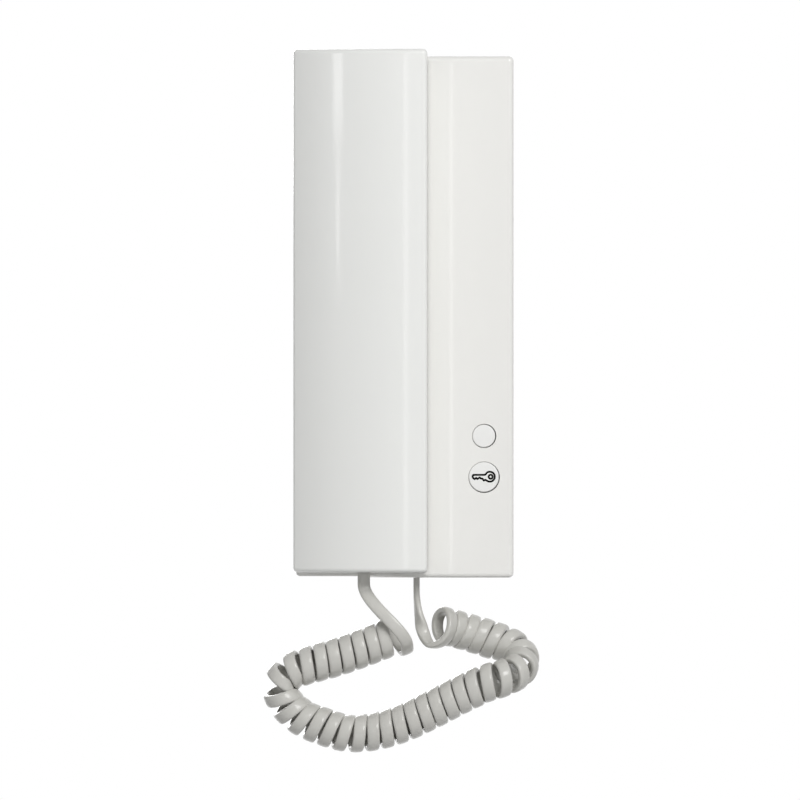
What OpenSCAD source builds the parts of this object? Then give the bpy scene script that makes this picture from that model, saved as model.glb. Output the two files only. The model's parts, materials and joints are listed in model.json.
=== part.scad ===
// Wall intercom station: a base with two push buttons, a hanging handset and a curly cord.
// X runs to the right, Y into the wall and Z up. The origin is the middle of the two wall screws.
// A depth is a distance in front of the wall, so it is measured along minus Y.

/* [Base] */
// Width of the base
base_w = 87; // [84:0.5:96]
// Height of the base
base_h = 208.6; // [200:0.2:230]
// Depth of the flat front face
base_depth = 28; // [27:0.5:32]
// Depth of the low tray behind the handset
tray_depth = 14; // [13.5:0.25:15]
// Width of the flat front face, from the flank to the right side
flat_w = 22.6; // [21:0.1:24]
// Radius of the curved flank beside the handset
flank_r = 44.5; // [43:0.5:48]
// Wall thickness of the mouldings
wall = 2; // [1.8:0.1:2.4]
// Rounding of the base's outer edges
base_edge_r = 2; // [1:0.1:3]
// Thickness of the wall plate
plate_t = 2.5; // [2:0.1:3]
// Distance between the two wall screws
screw_spacing = 60; // [50:1:80]
// Radius of a wall screw hole
screw_hole_r = 2.2; // [1.8:0.1:2.6]

/* [Buttons] */
// Distance of both buttons from the right side of the base
button_inset = 11.9; // [11.5:0.1:13]
// Height of the key button's centre
key_button_z = -64; // [-68:0.1:-62]
// Radius of the key button
key_button_r = 6; // [5:0.1:7]
// Height of the small button's centre
spare_button_z = -47.6; // [-50:0.1:-44]
// Radius of the small button
spare_button_r = 4.55; // [4:0.05:6]
// How far the buttons stand proud of the front
button_proud = 0.8; // [0.4:0.1:2]
// Travel of a button
button_travel = 1; // [0.5:0.1:1.5]

/* [Handset] */
// How far the handset hangs over the left side of the base
handset_over = 1.1; // [1:0.1:2.5]
// Distance from the handset's right side to the flat front face
handset_step = 11.9; // [11.5:0.1:14]
// Lower end of the handset
handset_bottom = -102.1; // [-102.5:0.1:-98]
// Upper end of the handset
handset_top = 107.1; // [100:0.1:112]
// Greatest depth of the handset's bowed front
handset_depth = 43.2; // [41:0.2:46]
// Depth of the bowed front at its left edge
side_depth = 27.05; // [26:0.05:29]
// Where the front is deepest, measured from the handset's right side
bow_offset = 4.75; // [3:0.25:8]
// Rounding of the handset's outer edges
handset_edge_r = 1.8; // [1:0.1:2.5]
// Gap between the handset's back and the base
rest_gap = 1; // [0.8:0.1:1.5]
// Angle at which the handset lifts off its tongues
lift_angle = 30; // [25:1:35]

/* [Cord] */
// Width of the flat strand
strand_w = 4.6; // [4:0.1:4.6]
// Thickness of the flat strand
strand_t = 2.6; // [2:0.1:2.8]
// Radius of the curls, to the middle of the strand
curl_r = 6.5; // [5.8:0.1:6.6]
// Advance of one curl where the coil is straight
curl_pitch = 5.2; // [5.2:0.05:6]

/* [Fits] */
// Clearance between a moving piece and its guide
run_clear = 0.3; // [0.2:0.05:0.4]
// Clearance between two fixed mouldings
seat_clear = 0.2; // [0.1:0.05:0.3]
// Clearance round a screw or pin in its hole
pin_clear = 0.05; // [0.02:0.01:0.1]

/* [Hidden] */
$fn = 64;
hull_fn = 32;
cut = 1;

// Base
base_x = base_w / 2;
base_z = base_h / 2;
inner_x = base_x - wall;
inner_z = base_z - wall;
front_inner = base_depth - wall;
tray_inner = tray_depth - wall;
rim_gap = 0.4;
flank_x = base_x - flat_w;
flank_y = flank_r - base_depth;
tray_end_x = flank_x - sqrt(pow(flank_r, 2) - pow(tray_depth + flank_y, 2));
tray_inset = 0.5;
plate_clear = seat_clear;

// Sides of the handset
handset_left = -base_x - handset_over;
handset_right = flank_x - handset_step;
handset_w = handset_right - handset_left;

// Tongues that carry the handset
tongue_share = 0.291;
tongue_x = handset_left + tongue_share * handset_w;
tongue_w = 10;
tongue_t = 2.6;
tongue_reach = 7;
tongue_zs = [-42, 38];

// Hook plunger and its spring
hook_x = tongue_x;
plunger_r = 4;
collar_r = 6;
collar_t = 1.4;
hook_travel = 3.5;
plunger_tip = tray_depth + rest_gap - run_clear;
collar_clear = 0.1;
collar_front = tray_inner - hook_travel - collar_clear;
collar_back = collar_front - collar_t;
arm_w = 5;
spring_boss_r = 3.4;
spring_boss_t = 1.5;
spring_r = 4.2;
spring_wire = 0.6;
spring_turns = 3.5;

// Circuit board
post_r = 3;
board_lift = 1.1;
board_back = plate_t + board_lift;
board_t = 1.6;
board_front = board_back + board_t;
board_step = 12.9;
board_left = flank_x - board_step;
board_side = 2;
board_right = inner_x - board_side;
board_low = -80;
board_high = 40;
hook_switch_step = 13.5;
hook_switch_x = hook_x + hook_switch_step;
tongue_board_left = hook_switch_x - post_r;
rest_post_x = hook_switch_x + 2 * post_r;
tongue_board_half = 8;
board_screw_r = 1.4;
board_screw_inset = 3.5;
board_screw_xs = [board_left + board_screw_inset, board_right - board_screw_inset];
board_screw_zs = [board_low + board_screw_inset, board_high - board_screw_inset];
screw_head_r = 2.6;
screw_head_t = 1.4;

// Terminal block
terminal_ways = 5;
terminal_pitch = 5;
terminal_x = (board_left + board_right) / 2;
terminal_z = 23;
terminal_w = terminal_ways * terminal_pitch + 2;
terminal_h = 9;
terminal_t = 10;
clamp_r = 1.7;

// Cable window in the wall plate
window_w = 24;
window_h = 16;
window_z = 56;

// Sounder
sounder_x = (flank_x + inner_x) / 2;
sounder_top = 26.3;
sounder_z = base_z - sounder_top;
sounder_rib = 1.4;
sounder_r = (inner_x - flank_x) / 2 - sounder_rib - 2 * seat_clear;
sounder_t = 6.5;
slot_count = 5;
slot_pitch = 4;

// Buttons and their switches
switch_w = 6;
switch_t = 4;
switch_pin_r = 1.75;
stem_r = 2.5;
stem_back = 13;
flange_t = 1.2;
flange_wide = 1.2;
sleeve_wall = 1.4;
sleeve_reach = 5.2;
sleeve_back = base_depth - sleeve_reach;
button_x = base_x - button_inset;
flange_front = sleeve_back - run_clear;
button_front = base_depth + button_proud;

// Handset
bow_x = handset_right - bow_offset;
bow_drop = handset_depth - side_depth;
bow_r = (pow(bow_x - handset_left, 2) + pow(bow_drop, 2)) / (2 * bow_drop);
bow_y = bow_r - handset_depth;
handset_back_depth = tray_depth + rest_gap;
seat_r = flank_r + rest_gap;
part_left = 19;
part_right = 32;
shell = wall;
ear_z = 76;
ear_side = 0.6;
ear_r = tongue_x - handset_left - wall - ear_side;
ear_t = 8;
gasket_t = 1;
mic_z = -76;
mic_r = 4.85;
mic_t = 6;
boot_wall = 1.3;
boss_r = 3.4;
handset_screw_r = 1.45;
handset_screw_inset = 13.9;
handset_screw_x = handset_right - handset_screw_inset;
handset_screw_zs = [-58, 60];
wire_r = 0.6;

// Housing screw in the underside
housing_screw_inset = 13.5;
housing_screw_x = base_x - housing_screw_inset;
housing_screw_depth = 10;

// Cord ends
exit_share = 0.526;
handset_exit_x = handset_left + exit_share * handset_w;
handset_exit_depth = part_left + (part_right - part_left) * exit_share;
base_exit_step = 16.2;
base_exit_x = flank_x - base_exit_step;
base_exit_depth = 14;
bush_clear = 0.6;
bush_flange = 1.4;
bush_recess = 0.3;

// Middle line of the coil, from the handset's end to the base's end
coil_axis = [
    [-3.5, -20, -127.2], [-10, -20, -129.8], [-17, -20.5, -132.5], [-24, -21, -135], [-31, -21.5, -137.2],
    [-38, -22, -139.3], [-44.7, -22, -142], [-49.2, -22, -147.4], [-47.2, -22, -154], [-41, -22.5, -160],
    [-32, -23.5, -164], [-22, -24, -166.4], [-11, -24, -165.5], [0, -24.5, -162.1], [11, -25, -156.9],
    [22, -26, -151.3], [31, -27, -147.2], [39, -26.5, -144.4], [45, -22, -141], [46, -15.5, -136.3],
    [42, -12, -132.2], [35, -11, -129.4], [27.5, -11, -127], [20.5, -13, -125], [15.5, -16.5, -124],
    [12, -20.5, -123.4]
];
curl_rings = 8;
strand_sides = 6;
axis_steps = 12;
bend_pitch = 0.5;
bend_squeeze = 1.2;
bend_tilt = 80;
lead_rings = 10;
first_turn = 45;
end_rings = 1;
mouth_r = 1.7;
mouth_draw = 2.5;
// Pull of each lead, at its exit and at the curl that it meets
handset_pull = [24, 34];
base_pull = [32, 10];

// Details of the mouldings
bow_fn = 160;
run_out = 5;
flank_run = 6;
tray_edge_r = 1.5;
tray_root_x = tray_end_x + flank_run;
rib_root = front_inner + wall / 2;
key_hole_r = key_button_r + run_clear;
spare_hole_r = spare_button_r + run_clear;
sounder_seat_r = sounder_r + seat_clear;
sounder_rear = front_inner - sounder_t;
terminal_front = board_front + terminal_t;
window_bar_w = tongue_w + 2 * run_clear;
window_bar_t = tongue_t + 2 * run_clear;
back_inner = handset_back_depth + shell;
capsule_seat = back_inner + gasket_t;
ear_rear = capsule_seat + ear_t;
mic_rear = capsule_seat + mic_t;
slot_low = 8;
slot_high = 20;
slot_h = 1.6;
tab_step = 17;
tab_inset = 10.5;
tab_xs = [flank_x - tab_step, base_x - tab_inset];
tab_w = 10;
tab_t = 1.6;
nib_back = 6;
nib_front = 7.5;
nib_out = 0.9;
plate_corner_r = 1;
pad_w = 8;
pad_t = 2;
lug_h = 7;
housing_screw_r = 1.45;
pad_rise = 0.8;
rib_zs = [-80, -55, 60, 85];
rib_w = 1.5;
rib_rise = 3;
rib_stop = 5;
rib_right = board_left - rib_stop;
window_corner_r = 2;
drive_w = 0.8;
drive_t = 0.8;
clamp_floor = 3;
clamp_seat = board_front + clamp_floor;
entry_low = 1.5;
entry_high = 6;
pin_floor = 0.6;
cap_chamfer = 0.4;
tact_w = 5;
tact_t = 1.4;
tip_round = 0.8;
boss_meet = 27;
head_seat = 2.5;
screw_seat = boss_meet - head_seat;
screw_bite = 9;
screw_tip = screw_seat + screw_bite;
rib_t = 3;
mic_hole_r = 0.7;
dish_r = 70;
dish_t = 0.8;
ear_hole_r = 0.9;
ear_hole_pitch = 3.8;
bush_w = strand_w + 2 * bush_clear;
bush_t = strand_t + 2 * bush_clear;
bend_span = 3;
tiny = 0.000001;

// Places a flat drawing of X and Z between two depths
module at_depth(from, to) {
    translate([0, -from, 0])
        rotate([90, 0, 0])
            linear_extrude(to - from)
                children();
}

// Round bar along the depth
module bar(x, z, r, from, to) {
    at_depth(from, to)
        translate([x, z])
            circle(r);
}

// Block between two corners given as X, depth and Z
module block(low, high) {
    translate([low[0], -high[1], low[2]])
        cube([high[0] - low[0], high[1] - low[1], high[2] - low[2]]);
}

// Strip with round ends
module rounded_strip(w, t) {
    square([w - t, t], center = true);
    for (side = [-1, 1])
        translate([side * (w - t) / 2, 0])
            circle(t / 2);
}

module rounded_rectangle(low, high, r) {
    translate([low[0] + r, low[1]])
        square([high[0] - low[0] - 2 * r, high[1] - low[1]]);
    translate([low[0], low[1] + r])
        square([high[0] - low[0], high[1] - low[1] - 2 * r]);
    for (x = [low[0] + r, high[0] - r], z = [low[1] + r, high[1] - r])
        translate([x, z])
            circle(r);
}

// Nest of shorter and wider prisms that rounds both ends of an upright form
module rounded_ends(low, high, r) {
    steps = 4;
    hull()
        for (k = [0 : steps]) {
            inset = r * (1 - sin(90 * k / steps));
            rise = r * (1 - cos(90 * k / steps));
            translate([0, 0, low + rise])
                linear_extrude(high - low - 2 * rise)
                    offset(delta = -inset)
                        children();
        }
}

// Flank and flat front of the raised side, set in by a wall where asked
module raised_outline(inset) {
    intersection() {
        union() {
            translate([flank_x, flank_y])
                circle(flank_r - inset, $fn = bow_fn);
            translate([flank_x, inset - base_depth])
                square([base_x - flank_x, base_depth]);
        }
        translate([tray_end_x - flank_run, inset - base_depth])
            square([base_x - inset - tray_end_x + flank_run, base_depth + run_out]);
    }
}

// Outer form of the base: the raised side and the low tray
module base_form() {
    rounded_ends(-base_z, base_z, base_edge_r)
        offset(r = base_edge_r, $fn = hull_fn)
            offset(delta = -base_edge_r)
                raised_outline(0);
    rounded_ends(tray_inset - base_z, base_z - tray_inset, tray_edge_r)
        rounded_rectangle([-base_x, -tray_depth], [tray_root_x, run_out], tray_edge_r, $fn = hull_fn);
}

// Room inside the base
module base_room() {
    translate([0, 0, -inner_z])
        linear_extrude(2 * inner_z)
            raised_outline(wall);
    block([-inner_x, -run_out, tray_inset - inner_z], [tray_root_x, tray_inner, inner_z - tray_inset]);
}

// Bar along the handset's way off its tongue, between two distances from the tray's face
module lift_bar(z, w, t, from, to) {
    translate([tongue_x, -tray_depth, z])
        rotate([90 - lift_angle, 0, 0])
            translate([0, 0, from])
                linear_extrude(to - from)
                    square([w, t], center = true);
}

module base_housing() {
    color("whitesmoke")
        difference() {
            union() {
                difference() {
                    base_form();
                    base_room();
                    block([-base_w, -base_depth, -base_h], [base_w, rim_gap, base_h]);
                }
                for (z = tongue_zs)
                    lift_bar(z, tongue_w, tongue_t, -wall / 2, tongue_reach);
                bar(button_x, key_button_z, key_hole_r + sleeve_wall, sleeve_back, rib_root);
                bar(button_x, spare_button_z, spare_hole_r + sleeve_wall, sleeve_back, rib_root);
                bar(sounder_x, sounder_z, sounder_seat_r + sounder_rib, sounder_rear + sounder_t / 2, rib_root);
                screw_pad();
            }
            bar(button_x, key_button_z, key_hole_r, sleeve_back - cut, base_depth + cut);
            bar(button_x, spare_button_z, spare_hole_r, sleeve_back - cut, base_depth + cut);
            bar(hook_x, 0, plunger_r + run_clear, tray_inner - cut, tray_depth + cut);
            bar(sounder_x, sounder_z, sounder_seat_r, sounder_rear, front_inner);
            for (k = [0 : slot_count - 1])
                block([inner_x - cut, slot_low, slot_z(k) - slot_h / 2],
                    [base_x + cut, slot_high, slot_z(k) + slot_h / 2]);
            for (x = tab_xs)
                block([x - tab_w / 2 - seat_clear, nib_back - seat_clear, inner_z - cut],
                    [x + tab_w / 2 + seat_clear, nib_front + seat_clear, inner_z + nib_out]);
            turned_bush_hole();
            screw_hole(-base_z - cut, -inner_z + pad_t + cut, housing_screw_r + pin_clear);
            screw_hole(-base_z - cut, -base_z + screw_head_t + bush_recess, screw_head_r + seat_clear);
        }
}

function slot_z(k) = sounder_z + (k - (slot_count - 1) / 2) * slot_pitch;

// Thicker floor round the closing screw
module screw_pad() {
    block([housing_screw_x - pad_w / 2, housing_screw_depth - pad_w / 2, -inner_z - wall / 2],
        [housing_screw_x + pad_w / 2, housing_screw_depth + pad_w / 2, -inner_z + pad_t]);
}

module screw_hole(low, high, r) {
    translate([housing_screw_x, -housing_screw_depth, low])
        cylinder(r = r, h = high - low);
}

module housing_screw() {
    color("silver")
        difference() {
            union() {
                screw_hole(-base_z + bush_recess, -base_z + bush_recess + screw_head_t, screw_head_r);
                screw_hole(-base_z + bush_recess, -inner_z + pad_t + lug_h, housing_screw_r);
            }
            translate([housing_screw_x, -housing_screw_depth, -base_z + bush_recess + drive_t / 2 - cut / 2])
                cube([screw_head_r, drive_w, drive_t + cut], center = true);
        }
}

module wall_plate() {
    plate_x = inner_x - plate_clear;
    plate_z = inner_z - plate_clear;
    color("white")
        difference() {
            union() {
                at_depth(0, plate_t)
                    difference() {
                        rounded_rectangle([-plate_x, -plate_z], [plate_x, plate_z], plate_corner_r);
                        for (side = [-1, 1])
                            translate([-plate_x - cut, side * plate_z - tray_inset])
                                square([plate_x + tray_end_x - flank_run + cut, 2 * tray_inset]);
                    }
                for (x = board_screw_xs, z = board_screw_zs)
                    bar(x, z, post_r, plate_t - cut, board_back);
                bar(rest_post_x, 0, post_r, plate_t - cut, board_back);
                bar(hook_x, 0, spring_boss_r, plate_t - cut, plate_t + spring_boss_t);
                for (side = [-1, 1])
                    bar(0, side * screw_spacing / 2, screw_hole_r + wall, plate_t - cut, plate_t + pad_rise);
                for (x = tab_xs)
                    snap_tab(x, plate_z);
                block([housing_screw_x - pad_w / 2, plate_t - cut, -inner_z + pad_t],
                    [housing_screw_x + pad_w / 2, housing_screw_depth + pad_w / 2, -inner_z + pad_t + lug_h]);
                for (z = rib_zs)
                    block([-plate_x + wall, plate_t - cut, z - rib_w / 2],
                        [rib_right, plate_t + rib_rise, z + rib_w / 2]);
            }
            for (side = [-1, 1])
                bar(0, side * screw_spacing / 2, screw_hole_r, -cut, plate_t + pad_rise + cut);
            at_depth(-cut, plate_t + cut)
                rounded_rectangle([terminal_x - window_w / 2, window_z - window_h / 2],
                    [terminal_x + window_w / 2, window_z + window_h / 2], window_corner_r);
            for (x = board_screw_xs, z = board_screw_zs)
                bar(x, z, board_screw_r + pin_clear, plate_t / 2, board_back + cut);
            screw_hole(-inner_z, -inner_z + pad_t + lug_h + cut, housing_screw_r + pin_clear);
        }
}

// Hooked tab that holds the top of the housing
module snap_tab(x, plate_z) {
    block([x - tab_w / 2, plate_t - cut, plate_z - tab_t], [x + tab_w / 2, nib_front, plate_z]);
    block([x - tab_w / 2, nib_back, plate_z - tab_t], [x + tab_w / 2, nib_front, plate_z + nib_out]);
}

module circuit_board() {
    color("darkgreen")
        difference() {
            at_depth(board_back, board_front) {
                rounded_rectangle([board_left, board_low], [board_right, board_high], plate_corner_r);
                rounded_rectangle([tongue_board_left, -tongue_board_half],
                    [board_left + 2 * plate_corner_r, tongue_board_half], plate_corner_r);
            }
            for (x = board_screw_xs, z = board_screw_zs)
                bar(x, z, board_screw_r + pin_clear, board_back - cut, board_front + cut);
        }
}

// Pan-head screw along the depth, with a cross drive
module pan_screw(x, z, r, tip, seat) {
    difference() {
        union() {
            bar(x, z, r, tip, seat);
            bar(x, z, screw_head_r, seat, seat + screw_head_t);
        }
        for (turn = [0, 90])
            translate([x, -seat - screw_head_t, z])
                rotate([0, turn, 0])
                    cube([1.5 * screw_head_r, 2 * drive_t, drive_w], center = true);
    }
}

module board_screws() {
    color("silver")
        for (x = board_screw_xs, z = board_screw_zs)
            pan_screw(x, z, board_screw_r, plate_t / 2 + pin_clear, board_front);
}

function way_x(k) = terminal_x + (k - (terminal_ways - 1) / 2) * terminal_pitch;

module terminal_block() {
    color("seagreen")
        difference() {
            block([terminal_x - terminal_w / 2, board_front, terminal_z - terminal_h / 2],
                [terminal_x + terminal_w / 2, terminal_front, terminal_z + terminal_h / 2]);
            for (k = [0 : terminal_ways - 1]) {
                bar(way_x(k), terminal_z, clamp_r + pin_clear, clamp_seat, terminal_front + cut);
                block([way_x(k) - clamp_r, board_front + entry_low, terminal_z + clamp_r + wall / 2],
                    [way_x(k) + clamp_r, board_front + entry_high, terminal_z + terminal_h / 2 + cut]);
            }
        }
}

module terminal_screws() {
    color("silver")
        for (k = [0 : terminal_ways - 1])
            difference() {
                bar(way_x(k), terminal_z, clamp_r, clamp_seat, terminal_front - cut);
                translate([way_x(k), cut - terminal_front, terminal_z])
                    cube([3 * clamp_r, 2 * drive_t, drive_w], center = true);
            }
}

// Push switch on the board with a round bore for its pin
module push_switch(z) {
    color("dimgray")
        difference() {
            block([button_x - switch_w / 2, board_front, z - switch_w / 2],
                [button_x + switch_w / 2, board_front + switch_t, z + switch_w / 2]);
            bar(button_x, z, switch_pin_r + pin_clear, board_front + pin_floor, board_front + switch_t + cut);
        }
}

module push_pin(z) {
    color("ivory")
        bar(button_x, z, switch_pin_r, board_front + pin_floor + button_travel + seat_clear, stem_back);
}

// Button cap with a retaining flange and a stem
module push_button(z, r) {
    color("white") {
        bar(button_x, z, r, flange_front - flange_t, button_front - cap_chamfer);
        translate([button_x, cap_chamfer - button_front, z])
            rotate([90, 0, 0])
                cylinder(r1 = r, r2 = r - cap_chamfer, h = cap_chamfer);
        bar(button_x, z, r + flange_wide, flange_front - flange_t, flange_front);
        bar(button_x, z, stem_r, stem_back, flange_front);
    }
}

module release_switch() { push_switch(key_button_z); }
module spare_switch() { push_switch(spare_button_z); }
module release_switch_pin() { push_pin(key_button_z); }
module spare_switch_pin() { push_pin(spare_button_z); }
module key_button() { push_button(key_button_z, key_button_r); }
module spare_button() { push_button(spare_button_z, spare_button_r); }

module hook_switch() {
    color("black") {
        block([hook_switch_x - tact_w / 2, board_front, -tact_w / 2],
            [hook_switch_x + tact_w / 2, board_front + tact_t, tact_w / 2]);
        bar(hook_switch_x, 0, tact_w / 4, board_front, collar_back - pin_clear);
    }
}

// Plunger with a collar, a spring seat and the arm that works the hook switch
module hook_plunger() {
    color("gainsboro") {
        bar(hook_x, 0, plunger_r, collar_back, plunger_tip - tip_round);
        translate([hook_x, tip_round - plunger_tip, 0])
            rotate([90, 0, 0])
                cylinder(r1 = plunger_r, r2 = plunger_r - tip_round, h = tip_round);
        bar(hook_x, 0, collar_r, collar_back, collar_front);
        block([hook_x, collar_back, -arm_w / 2], [hook_switch_x + arm_w / 2, collar_front, arm_w / 2]);
    }
}

module sounder() {
    color("dimgray")
        difference() {
            bar(sounder_x, sounder_z, sounder_r, sounder_rear, front_inner);
            bar(sounder_x, sounder_z, sounder_r / 5, sounder_rear - cut, sounder_rear + sounder_rib);
        }
}

// Strain relief: a neck in the wall and a flange behind it
module bush(x, depth, turn, low, floor) {
    translate([x, -depth, low])
        rotate(turn) {
            linear_extrude(floor - low)
                rounded_strip(bush_w, bush_t);
            translate([0, 0, floor - low])
                linear_extrude(bush_flange)
                    rounded_strip(bush_w + 2 * bush_flange, bush_t + 2 * bush_flange);
        }
}

module bush_hole(x, depth, turn, low, high) {
    translate([x, -depth, low])
        rotate(turn)
            linear_extrude(high - low)
                rounded_strip(bush_w + 2 * pin_clear, bush_t + 2 * pin_clear);
}

module turned_bush_hole() {
    bush_hole(base_exit_x, base_exit_depth, 90, -base_z - cut, -inner_z + cut);
}

module base_cord_bush() {
    color("lightgray")
        bush(base_exit_x, base_exit_depth, 90, -base_z + bush_recess, -inner_z);
}

module handset_cord_bush() {
    color("lightgray")
        bush(handset_exit_x, handset_exit_depth, 0, handset_bottom + bush_recess, handset_bottom + shell);
}

// Bowed outline of the handset seen from above
module handset_outline(inset) {
    intersection() {
        translate([bow_x, bow_y])
            circle(bow_r - inset, $fn = bow_fn);
        translate([handset_left + inset, -handset_depth])
            square([handset_w - 2 * inset, handset_depth]);
    }
}

module handset_form() {
    rounded_ends(handset_bottom, handset_top, handset_edge_r)
        offset(r = handset_edge_r, $fn = hull_fn)
            offset(delta = -handset_edge_r)
                handset_outline(0);
}

// All that lies in front of the parting line, or behind it
module parted(front) {
    deep = front ? -2 * handset_depth : handset_depth;
    slope = (part_right - part_left) / handset_w;
    translate([0, 0, handset_bottom - cut])
        linear_extrude(handset_top - handset_bottom + 2 * cut)
            polygon([
                [handset_left - cut, slope * cut - part_left],
                [handset_right + cut, -slope * cut - part_right],
                [handset_right + cut, deep],
                [handset_left - cut, deep]
            ]);
}

module handset_room() {
    translate([0, 0, handset_bottom + shell])
        linear_extrude(handset_top - handset_bottom - 2 * shell)
            difference() {
                handset_outline(shell);
                translate([handset_left, -handset_back_depth - shell])
                    square([handset_w, handset_depth]);
                translate([flank_x, flank_y])
                    circle(seat_r + shell, $fn = bow_fn);
            }
}

module handset_hole() {
    bush_hole(handset_exit_x, handset_exit_depth, 0, handset_bottom - cut, handset_bottom + shell + cut);
}

module handset_cover() {
    color("white")
        difference() {
            union() {
                difference() {
                    intersection() {
                        handset_form();
                        parted(true);
                    }
                    handset_room();
                }
                for (z = handset_screw_zs)
                    bar(handset_screw_x, z, boss_r, boss_meet, handset_depth - shell);
            }
            for (z = handset_screw_zs)
                bar(handset_screw_x, z, handset_screw_r + pin_clear, boss_meet - cut, screw_tip + cut);
            handset_hole();
        }
}

module handset_back() {
    color("white")
        difference() {
            union() {
                difference() {
                    intersection() {
                        handset_form();
                        parted(false);
                    }
                    handset_room();
                }
                ring_rib(ear_z, ear_r + seat_clear);
                ring_rib(mic_z, mic_r + boot_wall + seat_clear);
                for (z = handset_screw_zs)
                    bar(handset_screw_x, z, boss_r, back_inner, boss_meet);
            }
            block([handset_left - cut, -cut, handset_bottom - cut],
                [handset_right + cut, handset_back_depth, handset_top + cut]);
            translate([flank_x, flank_y, handset_bottom - cut])
                cylinder(r = seat_r, h = handset_top - handset_bottom + 2 * cut, $fn = bow_fn);
            for (z = handset_screw_zs) {
                bar(handset_screw_x, z, handset_screw_r + 3 * pin_clear, handset_back_depth, boss_meet + cut);
                bar(handset_screw_x, z, screw_head_r + seat_clear, handset_back_depth, screw_seat);
            }
            for (z = tongue_zs)
                lift_bar(z, window_bar_w, window_bar_t, -tongue_reach, 2 * tongue_reach);
            ear_grille();
            translate([tongue_x, 0, mic_z])
                for (k = [0 : 4])
                    rotate([0, 72 * k, 0])
                        bar(mic_r / 2, 0, mic_hole_r, handset_back_depth - cut, back_inner + cut);
            handset_hole();
        }
}

// Rib ring that locates a capsule on the handset's back
module ring_rib(z, r) {
    at_depth(back_inner - shell / 2, back_inner + rib_t)
        translate([tongue_x, z])
            difference() {
                circle(r + sounder_rib / 2);
                circle(r);
            }
}

// Shallow dish with three rings of sound holes
module ear_grille() {
    translate([tongue_x, dish_r - dish_t - handset_back_depth, ear_z])
        sphere(dish_r, $fn = bow_fn);
    translate([tongue_x, 0, ear_z])
        for (ring = [0 : 2], k = [0 : max(6 * ring - 1, 0)])
            rotate([0, ring == 0 ? 0 : 60 * k / ring, 0])
                bar(ring * ear_hole_pitch, 0, ear_hole_r, handset_back_depth - cut, back_inner + cut);
}

module earpiece_gasket() {
    color("black")
        at_depth(back_inner, capsule_seat)
            translate([tongue_x, ear_z])
                difference() {
                    circle(ear_r);
                    circle(ear_r - 2 * gasket_t - ear_hole_r);
                }
}

module earpiece_capsule() {
    color("dimgray")
        difference() {
            union() {
                bar(tongue_x, ear_z, ear_r, capsule_seat, capsule_seat + ear_t / 2);
                bar(tongue_x, ear_z, ear_r - 2 * gasket_t, capsule_seat, ear_rear);
            }
            bar(tongue_x, ear_z, ear_r / 2, capsule_seat - cut, capsule_seat + gasket_t);
        }
}

module microphone_boot() {
    color("black")
        difference() {
            bar(tongue_x, mic_z, mic_r + boot_wall, back_inner, mic_rear);
            bar(tongue_x, mic_z, mic_r, capsule_seat, mic_rear + cut);
            bar(tongue_x, mic_z, mic_r / 2 + mic_hole_r, handset_back_depth, capsule_seat + cut);
        }
}

module microphone_capsule() {
    color("silver")
        bar(tongue_x, mic_z, mic_r, capsule_seat, mic_rear);
}

module handset_screws() {
    color("silver")
        for (z = handset_screw_zs)
            mirror([0, 1, 0])
                translate([0, 2 * screw_seat, 0])
                    pan_screw(handset_screw_x, z, handset_screw_r, screw_seat - screw_bite, screw_seat);
}

// One lead: up from the bush, then across to the back of a capsule
module lead(x, depth, z) {
    low = handset_bottom + shell + bush_flange;
    translate([x, -depth, low])
        cylinder(r = wire_r, h = z - low, $fn = hull_fn);
    translate([x, -depth, z])
        rotate([0, -90, 0])
            cylinder(r = wire_r, h = x - tongue_x, $fn = hull_fn);
    translate([x, -depth, z])
        sphere(1.3 * wire_r, $fn = hull_fn);
}

module handset_wires() {
    color("firebrick") {
        lead(handset_exit_x - 2 * wire_r, mic_rear + wire_r + pin_clear, mic_z);
        lead(handset_exit_x + 2 * wire_r, ear_rear + wire_r + pin_clear, ear_z);
    }
}

// Smooth middle line of the coil and its measured length
function smooth(a, b, c, d, t) =
    0.5 * (2 * b + (c - a) * t + (2 * a - 5 * b + 4 * c - d) * t * t + (3 * b - a - 3 * c + d) * t * t * t);
axis_last = len(coil_axis) - 1;
function axis_knot(i) =
    i < 0 ? 2 * coil_axis[0] - coil_axis[1]
    : i > axis_last ? 2 * coil_axis[axis_last] - coil_axis[axis_last - 1]
    : coil_axis[i];
axis_line = [
    for (i = [0 : axis_last - 1], k = [0 : axis_steps - 1])
        smooth(axis_knot(i - 1), axis_knot(i), axis_knot(i + 1), axis_knot(i + 2), k / axis_steps),
    coil_axis[axis_last]
];
line_last = len(axis_line) - 1;
function line_step(i) = norm(axis_line[min(i + 1, line_last)] - axis_line[i]);
axis_run = [for (i = 0, s = 0; i <= line_last; s = s + line_step(i), i = i + 1) s];
coil_length = axis_run[line_last];
axis_tables = [for (c = [0 : 2]) [for (i = [0 : line_last]) [axis_run[i], axis_line[i][c]]]];

function unit(v) = v / norm(v);
function square_to(v, along) = unit(v - along * (v * along));
function axis_point(s) = [for (table = axis_tables) lookup(s, table)];
function axis_way(s) =
    let (mid = min(max(s, 1), coil_length - 1))
        unit(axis_point(mid + 1) - axis_point(mid - 1));
function axis_bend(s) = (axis_way(s + bend_span) - axis_way(s - bend_span)) / (2 * bend_span);

// Places of the rings along the coil: wider apart where the coil bends
function ring_step(s) = curl_pitch * (1 + bend_pitch * curl_r * norm(axis_bend(s))) / curl_rings;
ring_run = [for (s = 0; s < coil_length; s = s + ring_step(s)) s];
half_curl = curl_rings / 2;
ring_count = floor((len(ring_run) - 1 - end_rings) / curl_rings) * curl_rings + end_rings + 1;

// The first and last curl open towards the leads: wider, and drawn out along the coil
function flare(k) = pow(max(1 - k / curl_rings, 0), 2);
function mouth(k) = mouth_r * (flare(k) + flare(ring_count - 1 - k));
function draw_out(k) = mouth_draw * (flare(ring_count - 1 - k) - flare(k));

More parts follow.
